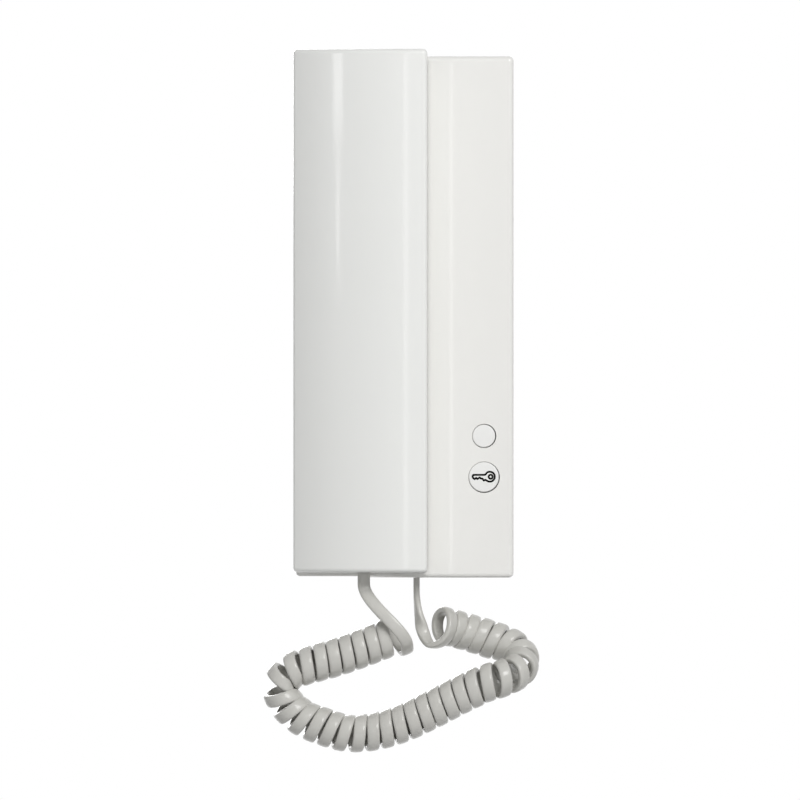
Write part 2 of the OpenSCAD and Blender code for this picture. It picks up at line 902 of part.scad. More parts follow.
// Middle of a ring and the way its flat side faces
function curl_ring(k) =
    let (
        s = ring_run[k],
        turn = first_turn + 360 * k / curl_rings,
        along = axis_way(s),
        front = square_to([0, -1, 0], along),
        side = cross(front, along),
        out = cos(turn) * front + sin(turn) * side,
        bend = axis_bend(s),
        inner = pow((1 + bend * out / max(norm(bend), tiny)) / 2, 2) * norm(bend) * curl_r,
        radius = curl_r * (1 - min(bend_squeeze * inner, 0.75)) + mouth(k),
        tilt = min(bend_tilt * inner, 75)
    )
    [
        axis_point(s) + radius * out + draw_out(k) * along,
        cos(tilt) * along + sin(tilt) * out
    ];
curls = [for (k = [0 : ring_count - 1]) curl_ring(k)];

// Lead between a cord exit and the nearest curl
function lead_point(a, way_a, b, way_b, t) =
    a * (2 * t * t * t - 3 * t * t + 1) + way_a * (t * t * t - 2 * t * t + t)
    + b * (3 * t * t - 2 * t * t * t) + way_b * (t * t * t - t * t);
function lead_rows(exit, flat, pull, curl, next) =
    let (stub = exit - [0, 0, strand_w], way = unit(next[0] - curl[0]))
    [
        [exit, flat],
        for (k = [0 : lead_rings - 1])
            let (t = k / lead_rings)
                [
                    lead_point(stub, [0, 0, -pull[0]], curl[0], pull[1] * way, t),
                    unit((1 - t) * flat + t * curl[1])
                ]
    ];
handset_exit = [handset_exit_x, -handset_exit_depth, handset_bottom + bush_recess];
base_exit = [base_exit_x, -base_exit_depth, bush_recess - base_z];
base_rows = lead_rows(base_exit, [0, 1, 0], base_pull, curls[ring_count - 1], curls[ring_count - 2]);
strand = concat(
    lead_rows(handset_exit, [-1, 0, 0], handset_pull, curls[0], curls[1]),
    curls,
    [for (k = [len(base_rows) - 1 : -1 : 0]) base_rows[k]]
);
strand_flat = strand_w / 2 - strand_t / 3;
strand_shape = [
    [strand_w / 2, 0], [strand_flat, strand_t / 2], [-strand_flat, strand_t / 2],
    [-strand_w / 2, 0], [-strand_flat, -strand_t / 2], [strand_flat, -strand_t / 2]
];

// Ring of points round each row of a route, square to the route
function swept(rows, shape) = [
    for (i = [0 : len(rows) - 1])
        let (
            last = len(rows) - 1,
            way = unit(rows[min(i + 1, last)][0] - rows[max(i - 1, 0)][0]),
            flat = square_to(rows[i][1], way),
            thick = cross(way, flat)
        )
        [for (p = shape) rows[i][0] + p[0] * flat + p[1] * thick]
];

// One closed tube through rings of points
module tube(rings) {
    n = len(rings[0]);
    last = (len(rings) - 1) * n;
    polyhedron(
        points = [for (ring = rings) each ring],
        faces = [
            for (i = [0 : len(rings) - 2], k = [0 : n - 1])
                let (a = i * n + k, b = i * n + (k + 1) % n)
                    each [[a, b, b + n], [a, b + n, a + n]],
            for (k = [1 : n - 2])
                each [[0, k + 1, k], [last, last + k, last + k + 1]]
        ]
    );
}

strand_rings = swept(strand, strand_shape);

// Least gap of the strand to itself: from the points of one ring to the long edges between two others
function edge_gap(p, a, b) =
    let (t = min(max((p - a) * (b - a) / ((b - a) * (b - a)), 0), 1))
        norm(p - a - t * (b - a));
function ring_gap(i, j) = min([
    for (p = strand_rings[i], k = [0 : strand_sides - 1])
        edge_gap(p, strand_rings[j][k], strand_rings[j + 1][k])
]);
strand_last = len(strand) - 1;
next_curl_gap = min([
    for (i = [0 : strand_last - half_curl - 2])
        for (j = [i + half_curl + 1 : min(i + curl_rings + 3, strand_last - 1)])
            ring_gap(i, j)
]);
far_gap = min([
    for (i = [0 : strand_last - curl_rings - 5], j = [i + curl_rings + 4 : strand_last - 1])
        norm(strand[i][0] - strand[j][0]) > 2 * strand_w ? strand_w : ring_gap(i, j)
]);
function route_length(rows, i = 0, sum = 0) =
    i >= len(rows) - 1 ? sum : route_length(rows, i + 1, sum + norm(rows[i + 1][0] - rows[i][0]));

module curly_cord() {
    echo(curls = (ring_count - 1) / curl_rings, cord_length = route_length(strand));
    echo(next_curl_gap = next_curl_gap, far_gap = far_gap);
    color("silver")
        tube(strand_rings);
}

// Return spring of the hook plunger
spring_base = plate_t + spring_wire / 2 + pin_clear;
spring_rise = collar_back - plate_t - spring_wire - 2 * pin_clear;
spring_steps = spring_turns * curl_rings;
spring_rows = [
    for (k = [0 : spring_steps])
        let (turn = 360 * k / curl_rings, depth = spring_base + spring_rise * k / spring_steps)
            [[hook_x + spring_r * cos(turn), -depth, spring_r * sin(turn)], [cos(turn), 0, sin(turn)]]
];
wire_turn = 360 / strand_sides;
wire_shape = [for (k = [0 : strand_sides - 1]) spring_wire / 2 * [cos(wire_turn * k), sin(wire_turn * k)]];

module hook_spring() {
    echo(spring_gap = spring_rise / spring_turns - spring_wire);
    color("silver")
        tube(swept(spring_rows, wire_shape));
}

wall_plate();
base_housing();
circuit_board();
board_screws();
terminal_block();
terminal_screws();
release_switch();
spare_switch();
hook_switch();
hook_spring();
sounder();
base_cord_bush();
housing_screw();
curly_cord();
key_button();
release_switch_pin();
spare_button();
spare_switch_pin();
hook_plunger();
handset_cover();
handset_back();
earpiece_capsule();
earpiece_gasket();
microphone_capsule();
microphone_boot();
handset_screws();
handset_cord_bush();
handset_wires();
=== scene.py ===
import json
import math

import bmesh
import bpy
import numpy as np
from bpy.props import FloatProperty, FloatVectorProperty, PointerProperty
from bpy.types import NodeSocket, Operator, Panel, PropertyGroup
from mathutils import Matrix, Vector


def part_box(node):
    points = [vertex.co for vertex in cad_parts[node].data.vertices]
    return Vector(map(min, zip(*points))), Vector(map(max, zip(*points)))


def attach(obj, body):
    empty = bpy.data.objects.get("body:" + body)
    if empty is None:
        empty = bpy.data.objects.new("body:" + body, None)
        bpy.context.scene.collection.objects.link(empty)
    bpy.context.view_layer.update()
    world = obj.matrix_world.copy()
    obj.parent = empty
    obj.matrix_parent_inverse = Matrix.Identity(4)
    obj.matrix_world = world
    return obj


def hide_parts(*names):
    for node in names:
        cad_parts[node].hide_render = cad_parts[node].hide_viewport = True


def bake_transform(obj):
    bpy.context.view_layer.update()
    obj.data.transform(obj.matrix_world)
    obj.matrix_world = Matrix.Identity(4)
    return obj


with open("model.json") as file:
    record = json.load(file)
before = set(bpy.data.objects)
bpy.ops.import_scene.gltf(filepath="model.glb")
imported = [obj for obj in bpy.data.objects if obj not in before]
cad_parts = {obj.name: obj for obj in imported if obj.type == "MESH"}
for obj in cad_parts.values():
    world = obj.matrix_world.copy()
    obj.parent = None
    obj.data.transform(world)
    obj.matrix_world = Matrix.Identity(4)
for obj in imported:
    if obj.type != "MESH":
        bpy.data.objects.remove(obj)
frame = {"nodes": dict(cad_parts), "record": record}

bl_info = {
    "name": "Wall intercom station",
    "version": (1, 0, 0),
    "blender": (4, 5, 0),
    "location": "View3D > Sidebar > Intercom",
    "description": "Builds the shells, buttons, cord and finishes of a wall intercom station",
    "category": "Object",
}

MM = 0.001
WHITE = (1, 1, 1, 1)

# Middle line of the coil in millimetres, from the handset's end to the base's end
COIL_AXIS = (
    (-3.5, -20, -127.2), (-10, -20, -129.8), (-17, -20.5, -132.5), (-24, -21, -135), (-31, -21.5, -137.2),
    (-38, -22, -139.3), (-44.7, -22, -142), (-49.2, -22, -147.4), (-47.2, -22, -154), (-41, -22.5, -160),
    (-32, -23.5, -164), (-22, -24, -166.4), (-11, -24, -165.5), (0, -24.5, -162.1), (11, -25, -156.9),
    (22, -26, -151.3), (31, -27, -147.2), (39, -26.5, -144.4), (45, -22, -141), (46, -15.5, -136.3),
    (42, -12, -132.2), (35, -11, -129.4), (27.5, -11, -127), (20.5, -13, -125), (15.5, -16.5, -124),
    (12, -20.5, -123.4),
)

# Key sign in millimetres from its button's middle: the shaft's edge from the teeth to the straight side,
# then the round bow and the eye in it as middle and radius
KEY_SHAFT = (
    (0.72, -1.14), (-0.08, -1.38), (-0.52, -0.68), (-1.16, -0.60), (-1.70, -0.20), (-2.52, -0.76),
    (-3.10, -0.34), (-3.68, -0.82), (-4.30, -0.34), (-4.48, 0.14), (-4.38, 0.56), (-4.06, 0.84),
    (0.42, 0.88),
)
KEY_BOW = (2.40, 0.13, 1.98)
KEY_EYE = (2.72, 0.10, 0.79)
KEY_BOW_ENDS = (127.7, -117.8)  # degrees at which the shaft leaves the bow
KEY_LINE = 0.76  # width of the drawn line

# Tongues that carry the handset, in metres
TONGUE_HEIGHTS = (-42 * MM, 38 * MM)
TONGUE_W, TONGUE_T, TONGUE_REACH = 10 * MM, 2.6 * MM, 7 * MM
WINDOW_ROOM = 0.6 * MM  # how much larger a window in the handset's back is than its tongue

# Buttons, in metres
FLANGE_W = 1.2 * MM  # how far the flange reaches past the cap
FLANGE_FRONT, FLANGE_BACK = 22.5 * MM, 21.3 * MM  # depths of its faces
STEM_R = 2.5 * MM
CROWN = 0.12 * MM  # rise of the cap's middle
HOLE_LEAN = {"key_button": -45, "spare_button": 5}  # degrees, the way in which a hole is wider

# Sound slots in the base's right side, in metres
SLOT_COUNT, SLOT_PITCH, SLOT_HALF = 5, 4 * MM, 0.8 * MM
SLOT_NEAR, SLOT_FAR = 8 * MM, 20 * MM  # depths of its ends

# Holes and what goes in them, in metres
CORD_HOLE_R, CORD_HOLE_SHIFT = 1.95 * MM, 1.0 * MM  # the oval's end radius and half its straight side
SCREW_HOLE_R, SCREW_HEAD_R = 2.8 * MM, 2.6 * MM
PLUNGER_HOLE_R, PLUNGER_FLANGE_R = 4.3 * MM, 6 * MM

# Lights: property that holds the power, size, place and the point that it faces, in metres
MIDDLE = (0, 0, -0.02)
LIGHTS = {
    "Key light": ("key_power", (0.8, 0.8), (0.75, -1.6, 0.9), MIDDLE),
    "Front light": ("front_power", (0.5, 0.9), (0.25, -2.2, 1.05), MIDDLE),
    "Strip light": ("strip_power", (0.1, 1.0), (-0.2, -2.2, 0.1), MIDDLE),
    "Lamp": ("lamp_power", (0.1, 0.076), (-0.7, -0.72, 0.122), (-0.029, -0.04, 0.097)),
    "Lamp tail": ("tail_power", (0.035, 0.046), (-0.7, -0.72, 0.048), (-0.029, -0.04, 0.048)),
    "Back light": ("back_power", (0.9, 0.9), (-0.5, 1.9, 0.5), MIDDLE),
}


# Sizes, lights and colours in the panel


def number(name, description, value, **more):
    return FloatProperty(name=name, description=description, default=value, **more)


def length(name, description, millimetres):
    return number(name, description, millimetres * MM, min=0.0, unit="LENGTH", precision=5)


def angle(name, description, degrees):
    return number(name, description, math.radians(degrees), subtype="ANGLE")


def power(name, description, watts):
    return number(name, description, watts, min=0.0, unit="POWER")


def colour(name, description, value):
    return FloatVectorProperty(
        name=name, description=description, default=value, min=0.0, max=1.0, precision=4, subtype="COLOR")


class IntercomBase(PropertyGroup):
    """Sizes of the base's shell."""
    flat_w: length("Flat width", "Width of the flat front face", 22.6)
    flank_r: length("Flank radius", "Radius of the curved flank beside the handset", 44.5)
    tray_depth: length("Tray depth", "Depth of the low tray behind the handset", 14)
    tray_inset: length("Tray inset", "How much shorter the tray is than the raised side, at each end", 0.5)
    wall: length("Wall", "Wall thickness of the moulding", 2)
    edge_r: length("Edge radius", "Rounding of the outer edges", 2.05)
    tray_edge_r: length("Tray edge radius", "Rounding of the tray's edges", 1.5)
    hole_lip: length("Hole lip", "Rounding at the mouth of a button hole", 0.2)
    run_clear: length("Running clearance", "Gap round a button", 0.19)
    hole_shift: length("Hole shift", "How far a button leans to one side of its hole", 0.17)
    lift_angle: angle("Lift angle", "Slant of the tongues that carry the handset", 30)


class IntercomHandset(PropertyGroup):
    """Sizes of the handset's shells."""
    bow_r: length("Bow radius", "Radius of the bowed front", 82)
    bow_offset: length("Bow offset", "Where the front is deepest, from the right side", 4.75)
    edge_r: length("Edge radius", "Rounding of the outer edges", 1.85)
    part_left: length("Parting left", "Depth of the parting line at the left side", 19)
    part_right: length("Parting right", "Depth of the parting line at the right side", 32)
    seam: length("Seam", "Width of the parting seam", 0.12)
    rest_gap: length("Rest gap", "Gap between the handset's back and the base", 1)
    shell: length("Shell", "Wall thickness of the shells", 2)


class IntercomCord(PropertyGroup):
    """Sizes of the curly cord."""
    strand_w: length("Strand width", "Width of the flat strand", 5.0)
    strand_t: length("Strand thickness", "Thickness of the flat strand", 2.6)
    curl_r: length("Curl radius", "Radius of the curls, to the middle of the strand", 6.5)
    curl_pitch: length("Curl pitch", "Advance of one curl where the coil is straight", 5.45)
    handset_pull: length("Handset pull", "How far the handset's lead keeps straight at its exit", 24)
    handset_join: length("Handset join", "How far the handset's lead keeps to the first curl", 34)
    base_pull: length("Base pull", "How far the base's lead keeps straight at its exit", 32)
    base_join: length("Base join", "How far the base's lead keeps to the last curl", 10)
    mouth_r: length("Mouth", "How much wider the first and the last curl are", 1.7)
    mouth_draw: length("Mouth draw", "How far the first and the last curl are drawn out", 2.5)
    first_turn: angle("First turn", "Angle at which the first curl starts", 45)
    bend_pitch: number("Bend pitch", "Spread of the curls in a bend", 0.25)
    bend_squeeze: number("Bend squeeze", "Flattening of the curls inside a bend", 0.4)
    bend_tilt: angle("Bend tilt", "Tilt of the strand inside a bend", 22)
    edge_round: number("Edge round", "1 for an oval strand, towards 0 for a square one", 0.6)


class IntercomStage(PropertyGroup):
    """Camera, light and floor."""
    camera_place: FloatVectorProperty(
        name="Camera", description="Place of the camera", default=(-0.00193, -10.695, -0.0332),
        subtype="TRANSLATION")
    lens: number("Lens", "Focal length in millimetres", 1200.0)
    key_power: power("Key light", "Power of the large right light", 16.5)
    front_power: power("Front light", "Power of the light above the camera, which leaves no sheen", 20.5)
    strip_power: power("Strip light", "Power of the strip that shows as a sheen", 0.8)
    lamp_power: power("Lamp", "Power of the narrow left lamp", 0.128)
    tail_power: power("Lamp tail", "Power of the slit under the left lamp", 0.026)
    back_power: power("Back light", "Power of the light behind the object", 14.0)
    floor_size: number("Floor size", "Side of the square floor", 12.0, unit="LENGTH")
    floor_place: number("Floor height", "Height of the floor", -0.5, unit="LENGTH")
    sky: number("Sky", "Strength of the even light all round", 0.2)


class IntercomFinishes(PropertyGroup):
    """Colours of the pieces and of the floor."""
    handset: colour("Handset", "Plastic of the handset's shells", (0.80, 0.805, 0.785))
    base: colour("Base", "Plastic of the base's shell", (0.785, 0.78, 0.755))
    button: colour("Buttons", "Plastic of the buttons", (0.80, 0.80, 0.785))
    inner: colour("Inner", "Plastic of the pieces inside and behind", (0.72, 0.72, 0.70))
    # Dust and painted shade: this grey darkens the creases and button gaps of the pale plastics
    dust_and_shade: colour("Dust", "Dust in the creases of pale plastic", (0.42, 0.41, 0.39))
    cord: colour("Cord", "Sheath of the curly cord", (0.56, 0.553, 0.52))
    steel: colour("Steel", "Screws and spring", (0.60, 0.61, 0.62))
    sign: colour("Sign", "Ink of the key sign", (0.002, 0.002, 0.002))
    floor: colour("Floor", "Pale floor", (0.62, 0.62, 0.62))


# Lines


def unit(v):
    """A vector, or each row of vectors, at length 1."""
    return v / np.linalg.norm(v, axis=-1, keepdims=True)


def square_to(v, way):
    """The direction of v without its part along way."""
    return unit(v - way * np.dot(v, way))


def quarter(steps):
    """The angles of a quarter turn."""
    return [math.pi / 2 * k / steps for k in range(steps + 1)]


def circle(x, y, r, turns):
    """Points of a circle at angles."""
    return [(x + r * math.cos(t), y + r * math.sin(t)) for t in turns]


def hermite(a, out, b, into, t):
    """The point at share t of a curve from a to b that starts by one pull and ends by another."""
    return (a * (2 * t ** 3 - 3 * t * t + 1) + out * (t ** 3 - 2 * t * t + t)
            + b * (3 * t * t - 2 * t ** 3) + into * (t ** 3 - t * t))


def spline(knots, steps, pull):
    """A smooth line from the second knot towards the last but one, which it leaves out."""
    line = []
    for a, b, c, d in zip(knots, knots[1:], knots[2:], knots[3:]):
        line += [hermite(b, pull * (c - a), c, pull * (d - b), k / steps) for k in range(steps)]
    return line


# Meshes


def linked(name, data):
    """A new object in the scene."""
    obj = bpy.data.objects.new(name, data)
    bpy.context.scene.collection.objects.link(obj)
    return obj


def new_object(name, verts, faces):
    """A mesh object with its faces turned outward."""
    mesh = bpy.data.meshes.new(name)
    mesh.from_pydata([tuple(v) for v in verts], [], faces)
    bm = bmesh.new()
    bm.from_mesh(mesh)
    bmesh.ops.recalc_face_normals(bm, faces=bm.faces)
    bm.to_mesh(mesh)
    bm.free()
    return linked(name, mesh)


def stacked(name, rings):
    """A closed solid through rings of points, with flat ends."""
    n = len(rings[0])
    verts = [p for ring in rings for p in ring]
    faces = [tuple(range(n)), tuple(range(len(verts) - n, len(verts)))]
    for i in range(len(rings) - 1):
        for k in range(n):
            a, b = i * n + k, i * n + (k + 1) % n
            faces.append((a, b, b + n, a + n))
    return new_object(name, verts, faces)


def arc(x, y, r, start, stop, count):
    """Points on an arc in X and Y, each with its outward direction. Angles are in degrees."""
    turns = np.radians(np.linspace(start, stop, count))
    return [((x + r * math.cos(t), y + r * math.sin(t)), (math.cos(t), math.sin(t))) for t in turns]


def spots(outline):
    """The points of an outline without their outward directions."""
    return [p for p, way in outline]


def loft(name, outline, low, high, r, steps=10):
    """An upright solid on an outline of points with outward directions, rounded at both ends."""
    turns = quarter(steps)
    levels = [(low + r * (1 - math.cos(t)), r * (1 - math.sin(t))) for t in turns]
    levels += [(high - r * (1 - math.cos(t)), r * (1 - math.sin(t))) for t in reversed(turns)]
    return stacked(name, [
        [(p[0] - inset * way[0], p[1] - inset * way[1], z) for p, way in outline] for z, inset in levels])


def prism(name, points, low, high):
    """An upright solid with square ends."""
    return stacked(name, [[(x, y, z) for x, y in points] for z in (low, high)])


def block(name, low, high):
    """A block between two corners."""
    points = [(low[0], low[1]), (high[0], low[1]), (high[0], high[1]), (low[0], high[1])]
    return prism(name, points, low[2], high[2])


def lathe(name, x, z, profile, count=96):
    """A round solid along the depth. The profile holds radius and depth, and starts and ends on the axis."""
    verts, faces, rows = [], [], []
    for r, depth in profile:
        if r == 0:
            rows.append([len(verts)] * count)
            verts.append((x, -depth, z))
        else:
            rows.append(list(range(len(verts), len(verts) + count)))
            turns = [2 * math.pi * k / count for k in range(count)]
            verts += [(a, -depth, b) for a, b in circle(x, z, r, turns)]
    for a, b in zip(rows, rows[1:]):
        for k in range(count):
            quad = (a[k], a[(k + 1) % count], b[(k + 1) % count], b[k])
            face = tuple(dict.fromkeys(quad))
            if len(face) > 2:
                faces.append(face)
    return new_object(name, verts, faces)


def rod(name, x, z, r, near, far, count):
    """A plain round solid between two depths."""
    return lathe(name, x, z, [(0, near), (r, near), (r, far), (0, far)], count)


def join(name, pieces):
    """One object of several that don't touch."""
    bm = bmesh.new()
    for piece in pieces:
        bm.from_mesh(piece.data)
    mesh = bpy.data.meshes.new(name)
    bm.to_mesh(mesh)
    bm.free()
    for piece in pieces:
        drop(piece)
    return linked(name, mesh)


def drop(obj):
    """Removes a helper object and its mesh."""
    mesh = obj.data
    bpy.data.objects.remove(obj)
    bpy.data.meshes.remove(mesh)


def plain(obj):
    """Turns the modifiers of an object into plain mesh."""
    graph = bpy.context.evaluated_depsgraph_get()
    mesh = bpy.data.meshes.new_from_object(obj.evaluated_get(graph))
    old = obj.data
    obj.modifiers.clear()
    obj.data = mesh
    mesh.name = obj.name
    bpy.data.meshes.remove(old)
    return obj


def combine(obj, other, operation="DIFFERENCE"):
    """Takes away, adds or keeps the common part of another solid, which is then removed."""
    modifier = obj.modifiers.new("Combine", "BOOLEAN")
    modifier.object = other
    modifier.operation = operation
    modifier.solver = "EXACT"
    plain(obj)
    drop(other)
    return obj


def smooth(obj, degrees=32):
    """Smooth shading with edges sharper than an angle kept, and flat faces kept flat."""
    merge, sliver, flat_weight = 2e-6, 1e-6, 80
    bm = bmesh.new()
    bm.from_mesh(obj.data)
    bmesh.ops.remove_doubles(bm, verts=bm.verts, dist=merge)
    bmesh.ops.dissolve_degenerate(bm, dist=sliver, edges=bm.edges)
    bm.to_mesh(obj.data)
    bm.free()
    obj.data.shade_smooth()
    obj.data.set_sharp_from_angle(angle=math.radians(degrees))
    modifier = obj.modifiers.new("Normals", "WEIGHTED_NORMAL")
    modifier.keep_sharp = True
    modifier.weight = flat_weight
    return plain(obj)


def paint(obj, name):
    """Gives a piece one finish."""
    obj.data.materials.clear()
    obj.data.materials.append(finish(name))


def place(obj, body, slot, *nodes):
    """Gives a finished piece the finish of its slot and its body, and hides the nodes that it stands for."""
    paint(obj, slot)
    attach(obj, body)
    if nodes:
        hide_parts(*nodes)
    return obj


def middle(node):
    """Middle of a CAD node at rest."""
    low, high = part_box(node)
    return [(a + b) / 2 for a, b in zip(low, high)]


# Finishes


class Graph:
    """Short ways to add nodes to a tree."""

    def __init__(self, tree):
        self.tree = tree

    def add(self, kind, inputs=None, **settings):
        """Adds a node and returns its outputs."""
        node = self.tree.nodes.new(kind)
        for key, value in settings.items():
            setattr(node, key, value)
        self.fill(node, inputs or {})
        return node.outputs

    def fill(self, node, inputs):
        """Sets inputs by name or number: a socket is linked, and anything else is a value."""
        for key, value in inputs.items():
            if isinstance(value, NodeSocket):
                self.tree.links.new(value, node.inputs[key])
            else:
                node.inputs[key].default_value = value

    def math(self, operation, a, b):
        return self.add("ShaderNodeMath", {0: a, 1: b}, operation=operation)[0]

    def seen(self):
        """1 for what the camera sees, straight or in gloss and glass, and 0 for light on the object."""
        path = self.add("ShaderNodeLightPath")
        straight_or_gloss = self.math("MAXIMUM", path["Is Camera Ray"], path["Is Glossy Ray"])
        return self.math("MAXIMUM", straight_or_gloss, path["Is Transmission Ray"])


class Skin(Graph):
    """The nodes of a finish, on the piece's own coordinates."""

    def __init__(self, name):
        self.material = bpy.data.materials.new(name)
        self.material.use_nodes = True
        super().__init__(self.material.node_tree)
        self.shader = next(n for n in self.tree.nodes if n.type == "BSDF_PRINCIPLED")
        self.coordinate = self.add("ShaderNodeTexCoord")["Object"]

    def noise(self, scale, detail):
        inputs = {"Scale": scale, "Detail": detail, "Vector": self.coordinate}
        return self.add("ShaderNodeTexNoise", inputs)["Fac"]

    def spread(self, value, low, high, start=0.3, stop=0.7):
        inputs = {"Value": value, "From Min": start, "From Max": stop, "To Min": low, "To Max": high}
        return self.add("ShaderNodeMapRange", inputs)["Result"]

    def mix(self, factor, a, b):
        ends = {key: end if isinstance(end, NodeSocket) else (*end, 1) for key, end in (("A", a), ("B", b))}
        return self.add("ShaderNodeMix", {"Factor": factor, **ends}, data_type="RGBA")["Result"]

    def mottle(self, tint, share, scale, detail):
        """A colour that drifts to a darker share of itself."""
        return self.mix(self.spread(self.noise(scale, detail), 0, 1), tint, [c * share for c in tint])

    def bump(self, height, strength, distance):
        inputs = {"Height": height, "Strength": strength, "Distance": distance}
        return self.add("ShaderNodeBump", inputs)["Normal"]

    def creases(self, reach):
        """0 in a crease and 1 in the open, by ambient occlusion; it marks where dust and painted shade go.
        """
        bare = self.add("ShaderNodeAmbientOcclusion", {"Distance": reach}, samples=8)["AO"]
        return self.spread(bare, 0, 1, 0.25, 0.75)

    def shade(self, inputs):
        self.fill(self.shader, inputs)
        return self.material


def plastic(name, tint, dust_and_shade, rough, grain, peel=0.06, coat=0.0):
    """Moulded plastic: slow changes of tint and gloss, a fine moulding skin, and dust with painted shade in
    the creases.
    """
    g = Skin(name)
    # Painted shade with dust: in creases the colour turns to the crease colour, which on pale plastic is
    # darker
    return g.shade({
        "Base Color": g.mix(g.creases(1.5 * MM), dust_and_shade, g.mottle(tint, 0.995, 14, 2)),
        "Roughness": g.spread(g.noise(80, 3), rough - 0.02, rough + 0.02),
        "Coat Weight": coat, "Coat Roughness": 0.09,
        "Normal": g.bump(g.noise(grain, 2), peel, 0.2 * MM)})


def metal(name, tint, rough):
    """Plated metal with fine brushed marks."""
    g = Skin(name)
    return g.shade({
        "Base Color": g.mottle(tint, 0.8, 900, 4), "Metallic": 1.0,
        "Roughness": g.spread(g.noise(2200, 3), rough - 0.08, rough + 0.08),
        "Normal": g.bump(g.noise(3000, 2), 0.15, 0.1 * MM)})


def soft(name, tint, rough, grain, depth, specular=0.4, coat=0.0):
    """Rubber, foam, ink or cord sheath, with a fine open grain."""
    g = Skin(name)
    return g.shade({
        "Base Color": g.mottle(tint, 0.93, 140, 5),
        "Roughness": g.spread(g.noise(grain / 2, 4), rough - 0.06, rough + 0.06),
        "Specular IOR Level": specular, "Coat Weight": coat, "Coat Roughness": 0.09,
        "Normal": g.bump(g.noise(grain, 3), depth, 0.2 * MM)})


def board_skin(name, mask, runs):
    """Solder mask with copper runs that show through it."""
    g = Skin(name)
    cells = g.add("ShaderNodeTexVoronoi", {"Scale": 260, "Vector": g.coordinate}, feature="DISTANCE_TO_EDGE")
    run = g.math("LESS_THAN", cells["Distance"], 0.09)
    return g.shade({
        "Base Color": g.mix(run, mask, runs), "Roughness": g.spread(g.noise(500, 3), 0.28, 0.42),
        "Normal": g.bump(run, 0.2, 0.1 * MM)})


def floor_skin(name, tint):
    """Matt floor that shows as white, and less so near the object, where it keeps the shadow."""
    g = Skin(name)
    away = g.add("ShaderNodeVectorMath", {0: g.coordinate}, operation="LENGTH")["Value"]
    glow = g.spread(away, 0.8, 1.0, 0.8, 2.4)
    return g.shade({
        "Base Color": g.mix(g.noise(40, 3), tint, [c * 0.98 for c in tint]), "Roughness": 0.8,
        "Specular IOR Level": 0.1, "Emission Strength": g.math("MULTIPLY", glow, g.seen())})


def make_finishes(tints):
    """All finishes by the name of their slot, and those of the sign and the floor."""
    mask, runs = (0.012, 0.07, 0.03), (0.03, 0.14, 0.06)
    # The darker green paints shade with dust into the terminal's creases; the grey on black is dust only
    green, green_dust_and_shade = (0.02, 0.16, 0.07), (0.01, 0.06, 0.03)
    black, black_dust = (0.025, 0.025, 0.027), (0.06, 0.06, 0.06)
    foam, boot = (0.018, 0.018, 0.018), (0.02, 0.02, 0.02)
    can, wire = (0.74, 0.74, 0.75), (0.33, 0.015, 0.012)
    return {
        "handset_plastic": plastic("Handset plastic", tints.handset, tints.dust_and_shade, 0.305, 700, coat=0.6),
        "base_plastic": plastic("Base plastic", tints.base, tints.dust_and_shade, 0.305, 700, coat=0.6),
        "button_plastic": plastic("Button plastic", tints.button, tints.dust_and_shade, 0.33, 900),
        "inner_plastic": plastic("Inner plastic", tints.inner, tints.dust_and_shade, 0.5, 1200, 0.12),
        "cord": soft("Cord sheath", tints.cord, 0.34, 1500, 0.08, 0.25, 0.5),
        "board": board_skin("Circuit board", mask, runs),
        "terminal": plastic("Terminal plastic", green, green_dust_and_shade, 0.45, 1500, 0.12),
        "dark_plastic": plastic("Dark plastic", black, black_dust, 0.45, 1500, 0.12),
        "steel": metal("Plated steel", tints.steel, 0.38),
        "can": metal("Drawn can", can, 0.37),
        "foam": soft("Foam", foam, 0.9, 2600, 0.6),
        "boot": soft("Rubber boot", boot, 0.7, 2000, 0.2),
        "wire": soft("Wire sleeve", wire, 0.45, 2000, 0.1),
        "floor": floor_skin("Pale floor", tints.floor),
        "sign": soft("Sign ink", tints.sign, 0.7, 3000, 0.1, 0.04),
    }


FINISHES = {}


def finish(name):
    """A finish by its name. All are made when the first one is asked for."""
    if not FINISHES:
        FINISHES.update(make_finishes(bpy.context.scene.intercom_finishes))
    return FINISHES[name]


# Base


def flank_axis(base):
    """Middle of the curved flank, from above."""
    low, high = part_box("base_housing")
    return high.x - base.flat_w, base.flank_r + low.y


def base_shell(sizes):
    """The raised side and the tray as one hollow shell, cut off at its rim."""
    low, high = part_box("base_housing")
    left, right, rim = low.x, high.x, high.y
    wall, tray_y = sizes.wall, -sizes.tray_depth
    flank_x, flank_y = flank_axis(sizes)
    tray_end = flank_x - math.sqrt(sizes.flank_r ** 2 - (flank_y - tray_y) ** 2)
    behind, overlap = 5 * MM, 6 * MM
    raised_end_r, tray_end_r = 2 * MM, 1.45 * MM

    def raised(inset, corner):
        r = sizes.flank_r - inset
        root = tray_end - overlap
        start = -180 + math.degrees(math.acos((flank_x - root) / r))
        outline = arc(flank_x, flank_y, r, start, -90, 72)
        side, face = right - inset, low.y + inset
        if corner:
            outline += arc(side - corner, face + corner, corner, -90, 0, 12)
        else:
            outline.append(((side, face), (0, 0)))
        return outline + [((side, behind), (1, 0)), ((root, behind), (-1, 0))]

    shell = loft("Base_housing", raised(0, sizes.edge_r), low.z, high.z, raised_end_r)
    bottom, top = low.z + sizes.tray_inset, high.z - sizes.tray_inset
    r, root = sizes.tray_edge_r, tray_end + overlap
    tray = [((left, behind), (-1, 0))]
    tray += arc(left + r, tray_y + r, r, 180, 270, 12)
    tray += [((root, tray_y), (0, -1)), ((root, behind), (0, 0))]
    combine(shell, loft("Tray", tray, bottom, top, tray_end_r), "UNION")
    room = prism("Room", spots(raised(wall, 0)), low.z + wall, high.z - wall)
    tray_room = block(
        "Tray room", (left + wall, tray_y + wall, bottom + wall), (root, behind, top - wall))
    combine(room, tray_room, "UNION")
    combine(shell, room)
    return combine(shell, block("Rim cut", (-0.1, rim, -0.2), (0.1, 0.1, 0.2)))


